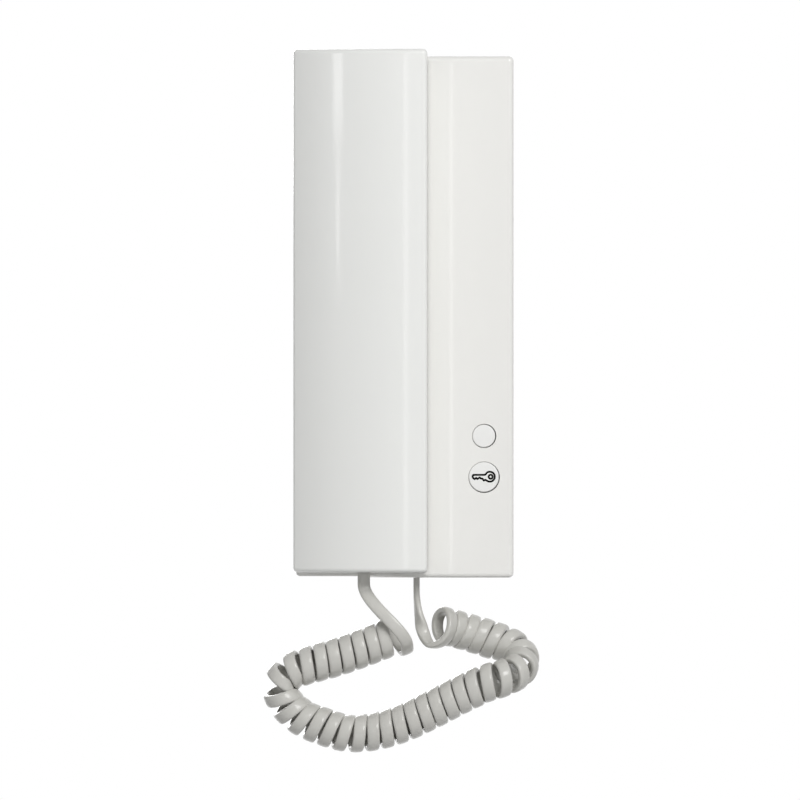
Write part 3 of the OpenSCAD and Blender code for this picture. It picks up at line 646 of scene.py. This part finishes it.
def lift_block(name, x, depth, z, slant, w, t, start, stop):
    """A bar along the handset's way off its tongue."""
    way = (-math.cos(slant), math.sin(slant))
    up = (math.sin(slant), math.cos(slant))
    corners = [(-w / 2, -t / 2), (w / 2, -t / 2), (w / 2, t / 2), (-w / 2, t / 2)]
    return stacked(name, [
        [(x + a, -depth + s * way[0] + b * up[0], z + s * way[1] + b * up[1]) for a, b in corners]
        for s in (start, stop)])


def hole_cutter(x, z, r, front, lip):
    """Cutter of a round hole along the depth with a rounded mouth."""
    back, far = front - 4 * MM, front + 2 * MM
    mouth = [(r + lip * (1 - math.cos(t)), front - lip + lip * math.sin(t)) for t in quarter(6)]
    return lathe("Hole", x, z, [(0, back), (r, back)] + mouth + [(mouth[-1][0], far), (0, far)])


def floor_hole(points, bottom):
    """Cutter of a hole in the lower end of a shell."""
    return prism("Floor hole", points, bottom - MM, bottom + 3 * MM)


def cord_hole(bush, bottom, start):
    """Cutter of the oval hole that a cord's bush fills. The start turns the oval, in degrees."""
    x, y, z = middle(bush)
    points = []
    for turn in (start, start + 180):
        (cx, cy), = circle(x, y, CORD_HOLE_SHIFT, [math.radians(turn + 90)])
        points += spots(arc(cx, cy, CORD_HOLE_R, turn, turn + 180, 16))
    return floor_hole(points, bottom)


def button_r(node):
    """Radius of a button's cap."""
    low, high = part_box(node)
    return (high.x - low.x) / 2 - FLANGE_W


class INTERCOM_OT_base(Operator):
    """Build the base's shell with its tongues, button holes, plunger hole, slots and cord hole"""
    bl_idname = "intercom.base"
    bl_label = "Base"

    def execute(self, context):
        sizes = context.scene.intercom_base
        low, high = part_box("base_housing")
        shell = base_shell(sizes)
        hook_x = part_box("hook_plunger")[0].x + PLUNGER_FLANGE_R
        slant, tray = sizes.lift_angle, sizes.tray_depth
        tongues = [
            lift_block("Tongue", hook_x, tray, z, slant, TONGUE_W, TONGUE_T, -MM, TONGUE_REACH)
            for z in TONGUE_HEIGHTS
        ]
        combine(shell, join("Tongues", tongues), "UNION")
        cutters = []
        for node, lean in HOLE_LEAN.items():
            x, y, z = middle(node)
            (x, z), = circle(x, z, sizes.hole_shift, [math.radians(lean)])
            r = button_r(node) + sizes.run_clear
            cutters.append(hole_cutter(x, z, r, -low.y, sizes.hole_lip))
        cutters.append(hole_cutter(hook_x, 0, PLUNGER_HOLE_R, tray, sizes.hole_lip))
        slot_z = middle("sounder")[2]
        for k in range(SLOT_COUNT):
            z = slot_z + (k - SLOT_COUNT // 2) * SLOT_PITCH
            cutters.append(block(
                "Slot", (high.x - 3 * MM, -SLOT_FAR, z - SLOT_HALF),
                (high.x + MM, -SLOT_NEAR, z + SLOT_HALF)))
        cutters.append(cord_hole("base_cord_bush", low.z, 0))
        x, y, z = middle("housing_screw")
        cutters.append(floor_hole(spots(arc(x, y, SCREW_HOLE_R, 0, 345, 24)), low.z))
        combine(shell, join("Cutters", cutters))
        place(smooth(shell), "base", "base_plastic", "base_housing")
        self.gauze(high.x - sizes.wall, slot_z)
        return {"FINISHED"}

    def gauze(self, inner, z):
        """Black gauze just inside the sound slots."""
        half, margin, near, far = 10 * MM, 0.6 * MM, 0.1 * MM, 0.5 * MM
        gauze = block(
            "Slot_gauze", (inner - far, -SLOT_FAR - margin, z - half),
            (inner - near, -SLOT_NEAR + margin, z + half))
        place(gauze, "base", "foam")


# Handset


class HandsetForm:
    """What the handset's cover and back are both cut from."""

    reach = 2 * MM  # how far a cutter stands out past the shells
    behind = -10 * MM  # place of the uncut body's back
    end_r = 1.8 * MM  # rounding of the upper and lower end
    inner_r = 0.4 * MM  # rounding of the corners inside

    def __init__(self, sizes, base):
        self.sizes = sizes
        low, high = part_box("handset_cover")
        self.left, self.right, self.front = low.x, high.x, low.y
        self.bottom, self.top = low.z, high.z
        self.back_depth = base.tray_depth + sizes.rest_gap
        self.flank = flank_axis(base)
        self.seat_r = base.flank_r + sizes.rest_gap

    def outline(self, inset):
        """Bowed outline from above, with rounded front corners."""
        left, right = self.left + inset, self.right - inset
        bow_x, bow_y = self.right - self.sizes.bow_offset, self.front + self.sizes.bow_r
        bow_r = self.sizes.bow_r - inset
        r = self.inner_r if inset else self.sizes.edge_r

        def corner(x):
            y = bow_y - math.sqrt((bow_r - r) ** 2 - (x - bow_x) ** 2)
            return x, y, math.degrees(math.atan2(y - bow_y, x - bow_x))

        xa, ya, ta = corner(left + r)
        xb, yb, tb = corner(right - r)
        outline = [((left, self.behind), (-1, 0))]
        outline += arc(xa, ya, r, -180, ta, 14)
        outline += arc(bow_x, bow_y, bow_r, ta, tb, 90)[1:-1]
        outline += arc(xb, yb, r, tb, 0, 14)
        outline.append(((right, self.behind), (1, 0)))
        return outline

    def seat(self, extra, right, count):
        """Curve along the base's tray and flank, from the tray to a place at the right."""
        (x, y), r = self.flank, self.seat_r + extra
        start = -180 + math.degrees(math.asin((self.back_depth + extra + y) / r))
        stop = -90 - math.degrees(math.asin((x - right) / r))
        return spots(arc(x, y, r, start, stop, count))

    def room(self):
        """The hollow of both shells."""
        shell = self.sizes.shell
        points = spots(self.outline(shell))[1:-1]
        points += reversed(self.seat(shell, self.right - shell, 48))
        points.append((self.left + shell, -self.back_depth - shell))
        return prism("Handset room", points, self.bottom + shell, self.top - shell)

    def parting(self, side):
        """Ends of the parting line, half a seam to its front (-1) or its back (1)."""
        slope = (self.sizes.part_right - self.sizes.part_left) / (self.right - self.left)
        ends = (self.left - self.reach, self.right + self.reach)
        shift = side * self.sizes.seam / 2
        return [(x, -(self.sizes.part_left + slope * (x - self.left)) + shift) for x in ends]

    def part(self, name, points):
        """One shell: what the whole handset holds inside points from above, made hollow."""
        shell = loft(name, self.outline(0), self.bottom, self.top, self.end_r, 12)
        combine(shell, prism("Side", points, self.bottom - self.reach, self.top + self.reach), "INTERSECT")
        return combine(shell, self.room())


class INTERCOM_OT_handset(Operator):
    """Build the handset's bowed cover and its back with the windows, grille, holes and screw recesses"""
    bl_idname = "intercom.handset"
    bl_label = "Handset"

    def execute(self, context):
        base = context.scene.intercom_base
        form = HandsetForm(context.scene.intercom_handset, base)
        self.cover(form)
        self.back(form, base)
        return {"FINISHED"}

    def cover(self, form):
        (left, y), (right, z) = ends = form.parting(-1)
        far = -0.1
        cover = form.part("Handset_cover", ends + [(right, far), (left, far)])
        combine(cover, cord_hole("handset_cord_bush", form.bottom, -90))
        place(smooth(cover), "handset", "handset_plastic", "handset_cover")

    def back(self, form, base):
        left, right = form.parting(1)
        depth = form.back_depth
        back = form.part(
            "Handset_back", [right, left, (left[0], -depth)] + form.seat(0, form.right + form.reach, 64))
        cutters = [cord_hole("handset_cord_bush", form.bottom, -90)]
        ear_x, y, ear_z = middle("earpiece_capsule")
        w, t = TONGUE_W + WINDOW_ROOM, TONGUE_T + WINDOW_ROOM
        for z in TONGUE_HEIGHTS:
            cutters.append(lift_block(
                "Window", ear_x, base.tray_depth, z, base.lift_angle, w, t, -TONGUE_REACH, 2 * TONGUE_REACH))
        near, far = depth - MM, depth + 3 * MM
        hole_r, ring_r = 0.7 * MM, 2.425 * MM
        for x, z in ring(ear_x, middle("microphone_capsule")[2], ring_r, 5):
            cutters.append(rod("Microphone hole", x, z, hole_r, near, far, 20))
        low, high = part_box("handset_screws")
        recess_end = 30 * MM
        for z in (low.z + SCREW_HEAD_R, high.z - SCREW_HEAD_R):
            cutters.append(rod(
                "Screw recess", middle("handset_screws")[0], z, SCREW_HOLE_R, depth, recess_end, 48))
        combine(back, join("Cutters", cutters))
        combine(back, grille(ear_x, ear_z, near, far))
        combine(back, dish(ear_x, ear_z, depth))
        place(smooth(back), "handset", "handset_plastic", "handset_back")


def ring(x, z, r, count):
    """Points evenly round a middle."""
    return circle(x, z, r, [-2 * math.pi * k / count for k in range(count)])


def dish(x, z, depth):
    """Cutter of the shallow round dish round the sound holes."""
    r, sag, steps = 70 * MM, 0.8 * MM, 16
    rim, out = math.sqrt(r * r - (r - sag) ** 2), depth - 2 * MM
    radii = [rim * k / steps for k in range(steps + 1)]
    rows = [(a, depth + sag - r + math.sqrt(r * r - a ** 2)) for a in radii]
    return lathe("Dish", x, z, rows + [(rim, out), (0, out)])


def grille(x, z, near, far):
    """Cutter of the sound holes: one on every point of a middle and two rings."""
    hole_r, spacing = 0.9 * MM, 3.8 * MM
    points = [(x, z)] + ring(x, z, spacing, 6) + ring(x, z, 2 * spacing, 12)
    hole = rod("Sound hole", 0, 0, hole_r, near, far, 24)
    return repeated("Sound holes", hole, [(a, 0, b) for a, b in points], "handset_plastic")


# Repeats


def repeat_group(name):
    """Geometry Nodes: a copy of one piece on every point, made real and painted."""
    tree = bpy.data.node_groups.new(name, "GeometryNodeTree")
    for socket, kind in (("Geometry", "Geometry"), ("Piece", "Object"), ("Material", "Material")):
        tree.interface.new_socket(socket, in_out="INPUT", socket_type="NodeSocket" + kind)
    tree.interface.new_socket("Geometry", in_out="OUTPUT", socket_type="NodeSocketGeometry")
    g = Graph(tree)
    source = g.add("NodeGroupInput")
    piece = g.add("GeometryNodeObjectInfo", {"Object": source["Piece"]})
    copies = g.add(
        "GeometryNodeInstanceOnPoints", {"Points": source["Geometry"], "Instance": piece["Geometry"]})
    real = g.add("GeometryNodeRealizeInstances", {"Geometry": copies["Instances"]})
    painted = g.add(
        "GeometryNodeSetMaterial", {"Geometry": real["Geometry"], "Material": source["Material"]})
    g.add("NodeGroupOutput", {"Geometry": painted["Geometry"]})
    return tree


def repeated(name, piece, points, material):
    """Copies of a piece on points, as one plain mesh. The piece is removed."""
    mesh = bpy.data.meshes.new(name)
    mesh.from_pydata(points, [], [])
    obj = linked(name, mesh)
    tree = bpy.data.node_groups.get("Repeat on points") or repeat_group("Repeat on points")
    sockets = {s.name: s.identifier for s in tree.interface.items_tree if s.in_out == "INPUT"}
    modifier = obj.modifiers.new("Repeat", "NODES")
    modifier.node_group = tree
    modifier[sockets["Piece"]] = piece
    modifier[sockets["Material"]] = finish(material)
    plain(obj)
    drop(piece)
    return obj


# Buttons and their sign


def stroke(name, points, width, x, z, depth, rise):
    """A closed flat stroke of a little thickness along points in millimetres, on a face at a depth."""
    p = np.array(points)
    n, sharpest = len(p), 0.6
    before, after = unit(p - np.roll(p, 1, axis=0)), unit(np.roll(p, -1, axis=0) - p)
    way = unit(before + after)
    lean = np.maximum(np.abs((way * after).sum(axis=1, keepdims=True)), sharpest)
    out = np.stack((-way[:, 1], way[:, 0]), axis=1) * width / 2 / lean
    verts = []
    for d in (depth, depth + rise):
        for edge in (p + out, p - out):
            verts += [(x + e[0] * MM, -d, z + e[1] * MM) for e in edge]
    faces = []
    for k in range(n):
        j = (k + 1) % n
        for a, b in ((0, 1), (1, 3), (3, 2), (2, 0)):
            faces.append((a * n + k, b * n + k, b * n + j, a * n + j))
    return new_object(name, verts, faces)


class INTERCOM_OT_buttons(Operator):
    """Build both push buttons and the key sign on the larger one"""
    bl_idname = "intercom.buttons"
    bl_label = "Buttons"

    def execute(self, context):
        self.button("Key_button", "key", "key_button")
        self.sign()
        self.button("Small_button", "spare", "spare_button")
        return {"FINISHED"}

    def button(self, name, body, node):
        low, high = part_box(node)
        x, y, z = middle(node)
        r, front, back, edge, steps = button_r(node), -low.y, -high.y, 0.45 * MM, 12
        flat, flange = r - edge, r + FLANGE_W
        profile = [(flat * k / steps, front - CROWN * (k / steps) ** 2) for k in range(steps + 1)]
        profile += [
            (flat + edge * math.sin(t), front - CROWN - edge * (1 - math.cos(t))) for t in quarter(8)[1:]]
        profile += [(r, FLANGE_FRONT), (flange, FLANGE_FRONT), (flange, FLANGE_BACK), (STEM_R, FLANGE_BACK),
                    (STEM_R, back), (0, back)]
        place(smooth(lathe(name, x, z, profile, 128), 40), body, "button_plastic", node)

    def sign(self):
        low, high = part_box("key_button")
        x, y, z = middle("key_button")
        bow = circle(*KEY_BOW, np.radians(np.linspace(*KEY_BOW_ENDS, 40)))
        eye = circle(*KEY_EYE, np.linspace(0, 2 * math.pi, 40, endpoint=False))
        shaft = spline(np.array((bow[-1], bow[-1], *KEY_SHAFT, bow[0], bow[0])), 4, 0.2)[1:]
        depth, rise = -low.y - CROWN, 0.13 * MM
        sign = join("Key_sign", [
            stroke("Key line", points, KEY_LINE, x, z, depth, rise) for points in (bow + shaft, eye)])
        place(smooth(sign), "key", "button_plastic")
        paint(sign, "sign")


# Screws


class INTERCOM_OT_screws(Operator):
    """Build the screws of the handset, the board and the terminals from one screw each"""
    bl_idname = "intercom.screws"
    bl_label = "Screws"

    def execute(self, context):
        low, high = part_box("handset_screws")
        r = (high.x - low.x) / 2
        screw = pan_screw("Handset screw", -high.y, -low.y, r, 1.45 * MM)
        x = middle("handset_screws")[0]
        self.spread("handset_screws", "handset", screw, [(x, 0, low.z + r), (x, 0, high.z - r)])

        low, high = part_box("board_screws")
        r = SCREW_HEAD_R
        screw = pan_screw("Board screw", -low.y, -high.y, r, 1.4 * MM)
        points = [(x, 0, z) for x in (low.x + r, high.x - r) for z in (low.z + r, high.z - r)]
        self.spread("board_screws", "base", screw, points)

        low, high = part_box("terminal_screws")
        r, ways = (high.z - low.z) / 2, 5
        screw = slotted("Terminal screw", -high.y, -low.y, r)
        z = middle("terminal_screws")[2]
        points = [(x, 0, z) for x in np.linspace(low.x + r, high.x - r, ways)]
        self.spread("terminal_screws", "base", screw, points)
        return {"FINISHED"}

    def spread(self, node, body, screw, points):
        """Sets the screw on all its points, in place of its node."""
        place(smooth(repeated(node.capitalize(), screw, points, "steel")), body, "steel", node)


def pan_screw(name, head, tip, head_r, shank_r):
    """A pan-head screw on the origin's depth line, with a cross recess. Head and tip are depths."""
    head_t, edge = 1.4 * MM, 0.5 * MM
    way, span = math.copysign(1, tip - head), abs(tip - head)
    dome = [(head_r - edge * (1 - math.sin(t)), edge * (1 - math.cos(t))) for t in quarter(8)]
    profile = [(0, 0)] + dome + [(head_r, head_t), (shank_r, head_t), (shank_r, span), (0, span)]
    screw = lathe(name, 0, 0, [(r, head + way * d) for r, d in profile], 40)
    w, reach, deep = 0.4 * MM, 1.9 * MM, 0.8 * MM
    cross = [(-w, -reach), (w, -reach), (w, -w), (reach, -w), (reach, w), (w, w), (w, reach), (-w, reach),
             (-w, w), (-reach, w), (-reach, -w), (-w, -w)]
    rings = [[(a, -head + side * deep, b) for a, b in cross] for side in (-1, 1)]
    return combine(screw, stacked("Cross", rings))


def slotted(name, back, front, r):
    """A plain clamp screw with a slot."""
    edge, half, deep = 0.25 * MM, 0.4 * MM, 0.8 * MM
    screw = lathe(name, 0, 0, [(0, back), (r, back), (r, front - edge), (r - edge, front), (0, front)], 40)
    slot = block("Slot", (-2 * r, -front - MM, -half), (2 * r, -front + deep, half))
    return combine(screw, slot)


# Curly cord


class Coil:
    """The curls of the cord round a middle line, in millimetres."""

    parts = 8  # steps to a curl
    rings = 4  # rings of points to a step
    sides = 20  # points round the strand
    span = 3.0  # reach on both sides over which a bend is measured
    squeeze_limit = 0.75
    tilt_limit = math.radians(75)

    def __init__(self, sizes):
        self.sizes = sizes
        self.curl_r = sizes.curl_r / MM
        knots = list(np.array(COIL_AXIS))
        knots = [2 * knots[0] - knots[1]] + knots + [2 * knots[-1] - knots[-2]]
        self.line = np.array(spline(knots, 12, 0.5) + [knots[-2]])
        self.run = np.concatenate([[0], np.cumsum(np.linalg.norm(np.diff(self.line, axis=0), axis=1))])
        self.length = self.run[-1]
        runs, s = [], 0.0
        while s < self.length:
            runs.append(s)
            tightness = self.curl_r * np.linalg.norm(self.bend(s))
            s += sizes.curl_pitch / MM * (1 + sizes.bend_pitch * tightness) / self.parts
        self.count = (len(runs) - 2) // self.parts * self.parts + 2
        self.runs = np.array(runs[:self.count])

    def point(self, s):
        return np.array([np.interp(s, self.run, self.line[:, c]) for c in range(3)])

    def way(self, s):
        mid = min(max(s, 1.0), self.length - 1)
        return unit(self.point(mid + 1) - self.point(mid - 1))

    def bend(self, s):
        """The way in which the middle line bends, as long as its curvature."""
        return (self.way(s + self.span) - self.way(s - self.span)) / (2 * self.span)

    def flare(self, k):
        """1 at the end of the coil, fading to 0 within a curl."""
        return max(1 - k / self.parts, 0) ** 2

    def curl(self, k):
        """Middle of the strand and the way its flat side faces, at step k of the curls."""
        s = np.interp(k, np.arange(self.count), self.runs)
        turn = self.sizes.first_turn + 2 * math.pi * k / self.parts
        along = self.way(s)
        front = square_to(np.array((0.0, -1.0, 0.0)), along)
        out = math.cos(turn) * front + math.sin(turn) * np.cross(front, along)
        bend = self.bend(s)
        size = np.linalg.norm(bend)
        inner = ((1 + np.dot(bend, out) / max(size, 1e-6)) / 2) ** 2 * size * self.curl_r
        first, last = self.flare(k), self.flare(self.count - 1 - k)
        squeeze = min(self.sizes.bend_squeeze * inner, self.squeeze_limit)
        radius = self.curl_r * (1 - squeeze) + self.sizes.mouth_r / MM * (first + last)
        tilt = min(self.sizes.bend_tilt * inner, self.tilt_limit)
        draw = self.sizes.mouth_draw / MM * (last - first)
        return self.point(s) + radius * out + draw * along, math.cos(tilt) * along + math.sin(tilt) * out

    def lead(self, bush, flat, pull, hold, curl, after):
        """Rows of a lead from its bush to the nearest curl, without that curl's own row."""
        stub_rows, rows_to_curl = 4, 40
        stub = np.array((0, 0, -self.sizes.strand_w / MM))
        down = np.array((0, 0, -pull / MM))
        into = unit(after[0] - curl[0]) * hold / MM
        rows = [(bush + stub * k / stub_rows, flat) for k in range(stub_rows)]
        for k in range(rows_to_curl):
            t = k / rows_to_curl
            rows.append((hermite(bush + stub, down, curl[0], into, t), unit((1 - t) * flat + t * curl[1])))
        return rows


def bush_end(node):
    """Middle of a cord bush's lower end in millimetres."""
    x, y, z = middle(node)
    return np.array((x, y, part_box(node)[0].z)) / MM


class INTERCOM_OT_cord(Operator):
    """Build the curly cord from the handset to the base"""
    bl_idname = "intercom.cord"
    bl_label = "Curly cord"

    def execute(self, context):
        sizes = context.scene.intercom_cord
        coil = Coil(sizes)
        curls = [coil.curl(k / coil.rings) for k in range((coil.count - 1) * coil.rings + 1)]
        hand, root = bush_end("handset_cord_bush"), bush_end("base_cord_bush")
        side, back = np.array((-1.0, 0, 0)), np.array((0, 1.0, 0))
        rows = coil.lead(hand, side, sizes.handset_pull, sizes.handset_join, curls[0], curls[1])
        rows += curls
        rows += reversed(coil.lead(root, back, sizes.base_pull, sizes.base_join, curls[-1], curls[-2]))
        cord = stacked("Curly_cord", self.strand(sizes, rows))
        cord.data.shade_smooth()
        cord.data.set_sharp_from_angle(angle=math.radians(60))
        paint(cord, "cord")
        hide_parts("curly_cord")
        path = [p * MM for p, flat in rows]
        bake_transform(cord)
        run = sum(float(np.linalg.norm(b - a)) for a, b in zip(path, path[1:]))
        return {"FINISHED"}

    def strand(self, sizes, rows):
        """Rings of points round the strand, in metres."""
        w, t, bulge = sizes.strand_w / MM / 2, sizes.strand_t / MM / 2, sizes.edge_round
        shape = [
            (w * math.copysign(abs(c) ** bulge, c), t * math.copysign(abs(s) ** bulge, s))
            for c, s in circle(0, 0, 1, [2 * math.pi * k / Coil.sides for k in range(Coil.sides)])]
        rings = []
        last = len(rows) - 1
        for i, (p, flat) in enumerate(rows):
            way = unit(rows[min(i + 1, last)][0] - rows[max(i - 1, 0)][0])
            flat = square_to(flat, way)
            thick = np.cross(way, flat)
            rings.append([(p + a * flat + b * thick) * MM for a, b in shape])
        return rings


class INTERCOM_OT_finishes(Operator):
    """Give the pieces that keep their own solids the finish of their slot"""
    bl_idname = "intercom.finishes"
    bl_label = "Finishes"

    def execute(self, context):
        for entry in frame["record"]["subparts"]:
            obj = frame["nodes"][entry["node"]]
            if not obj.hide_render:
                paint(obj, entry["material_slot"])
        return {"FINISHED"}


# Stage


def area_light(name, watts, size, place, target):
    """A rectangular light that faces a point."""
    data = bpy.data.lights.new(name, "AREA")
    data.shape = "RECTANGLE"
    data.size, data.size_y = size
    data.energy = watts
    obj = linked(name, data)
    obj.location = place
    x, y, z = np.subtract(target, place)
    obj.rotation_euler = (math.pi / 2 + math.atan2(z, math.hypot(x, y)), 0, math.atan2(-x, y))
    return obj


class INTERCOM_OT_stage(Operator):
    """Set the camera, the lights, the floor and the white surroundings"""
    bl_idname = "intercom.stage"
    bl_label = "Stage"

    def execute(self, context):
        sizes = context.scene.intercom_stage
        self.camera(context.scene, sizes)
        lights = {
            name: area_light(name, getattr(sizes, watts), *rest) for name, (watts, *rest) in LIGHTS.items()}
        lights["Front light"].visible_glossy = False
        edge = sizes.floor_size / 2
        corners = [(-edge, -edge), (edge, -edge), (edge, edge), (-edge, edge)]
        floor = new_object("Floor", [(x, y, sizes.floor_place) for x, y in corners], [(0, 1, 2, 3)])
        paint(floor, "floor")
        self.surroundings(context.scene, sizes)
        context.scene.view_settings.view_transform = "Standard"
        return {"FINISHED"}

    def camera(self, scene, sizes):
        data = bpy.data.cameras.new("Camera")
        data.lens = sizes.lens
        data.sensor_width = 36
        data.clip_end = 40
        scene.camera = linked("Camera", data)
        scene.camera.location = sizes.camera_place
        scene.camera.rotation_euler = (math.pi / 2, 0, 0)

    def surroundings(self, scene, sizes):
        """White for what is seen, and an even sky for light on the object."""
        scene.world = bpy.data.worlds.new("Surroundings")
        scene.world.use_nodes = True
        g = Graph(scene.world.node_tree)
        g.tree.nodes.clear()
        sky, white = [
            g.add("ShaderNodeBackground", {"Color": WHITE, "Strength": strength})[0]
            for strength in (sizes.sky, 1.0)]
        mix = g.add("ShaderNodeMixShader", {"Fac": g.seen(), 1: sky, 2: white})
        g.add("ShaderNodeOutputWorld", {"Surface": mix[0]})


class INTERCOM_PT_panel(Panel):
    """Sizes of the station and the steps that build it"""
    bl_idname = "INTERCOM_PT_panel"
    bl_label = "Wall intercom station"
    bl_space_type = "VIEW_3D"
    bl_region_type = "UI"
    bl_category = "Intercom"

    def draw(self, context):
        for name, (group, *operators) in STEPS.items():
            box = self.layout.box()
            settings = getattr(context.scene, name)
            for key in settings.bl_rna.properties.keys():
                if key not in ("rna_type", "name"):
                    box.prop(settings, key)
            for operator in operators:
                box.operator(operator.bl_idname)


# Settings with the operators that use them, by the scene property that holds them
STEPS = {
    "intercom_base": (IntercomBase, INTERCOM_OT_base, INTERCOM_OT_buttons, INTERCOM_OT_screws),
    "intercom_handset": (IntercomHandset, INTERCOM_OT_handset),
    "intercom_cord": (IntercomCord, INTERCOM_OT_cord),
    "intercom_stage": (IntercomStage, INTERCOM_OT_stage),
    "intercom_finishes": (IntercomFinishes, INTERCOM_OT_finishes),
}


def register():
    for name, (group, *operators) in STEPS.items():
        for item in (group, *operators):
            bpy.utils.register_class(item)
        setattr(bpy.types.Scene, name, PointerProperty(type=group))
    bpy.utils.register_class(INTERCOM_PT_panel)


def unregister():
    bpy.utils.unregister_class(INTERCOM_PT_panel)
    for name, (group, *operators) in STEPS.items():
        delattr(bpy.types.Scene, name)
        for item in (group, *operators):
            bpy.utils.unregister_class(item)


def main():
    register()
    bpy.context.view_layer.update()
    bpy.ops.intercom.stage()
    bpy.ops.intercom.cord()
    bpy.ops.intercom.base()
    bpy.ops.intercom.handset()
    bpy.ops.intercom.buttons()
    bpy.ops.intercom.screws()
    bpy.ops.intercom.finishes()


if __name__ == "__main__":
    main()
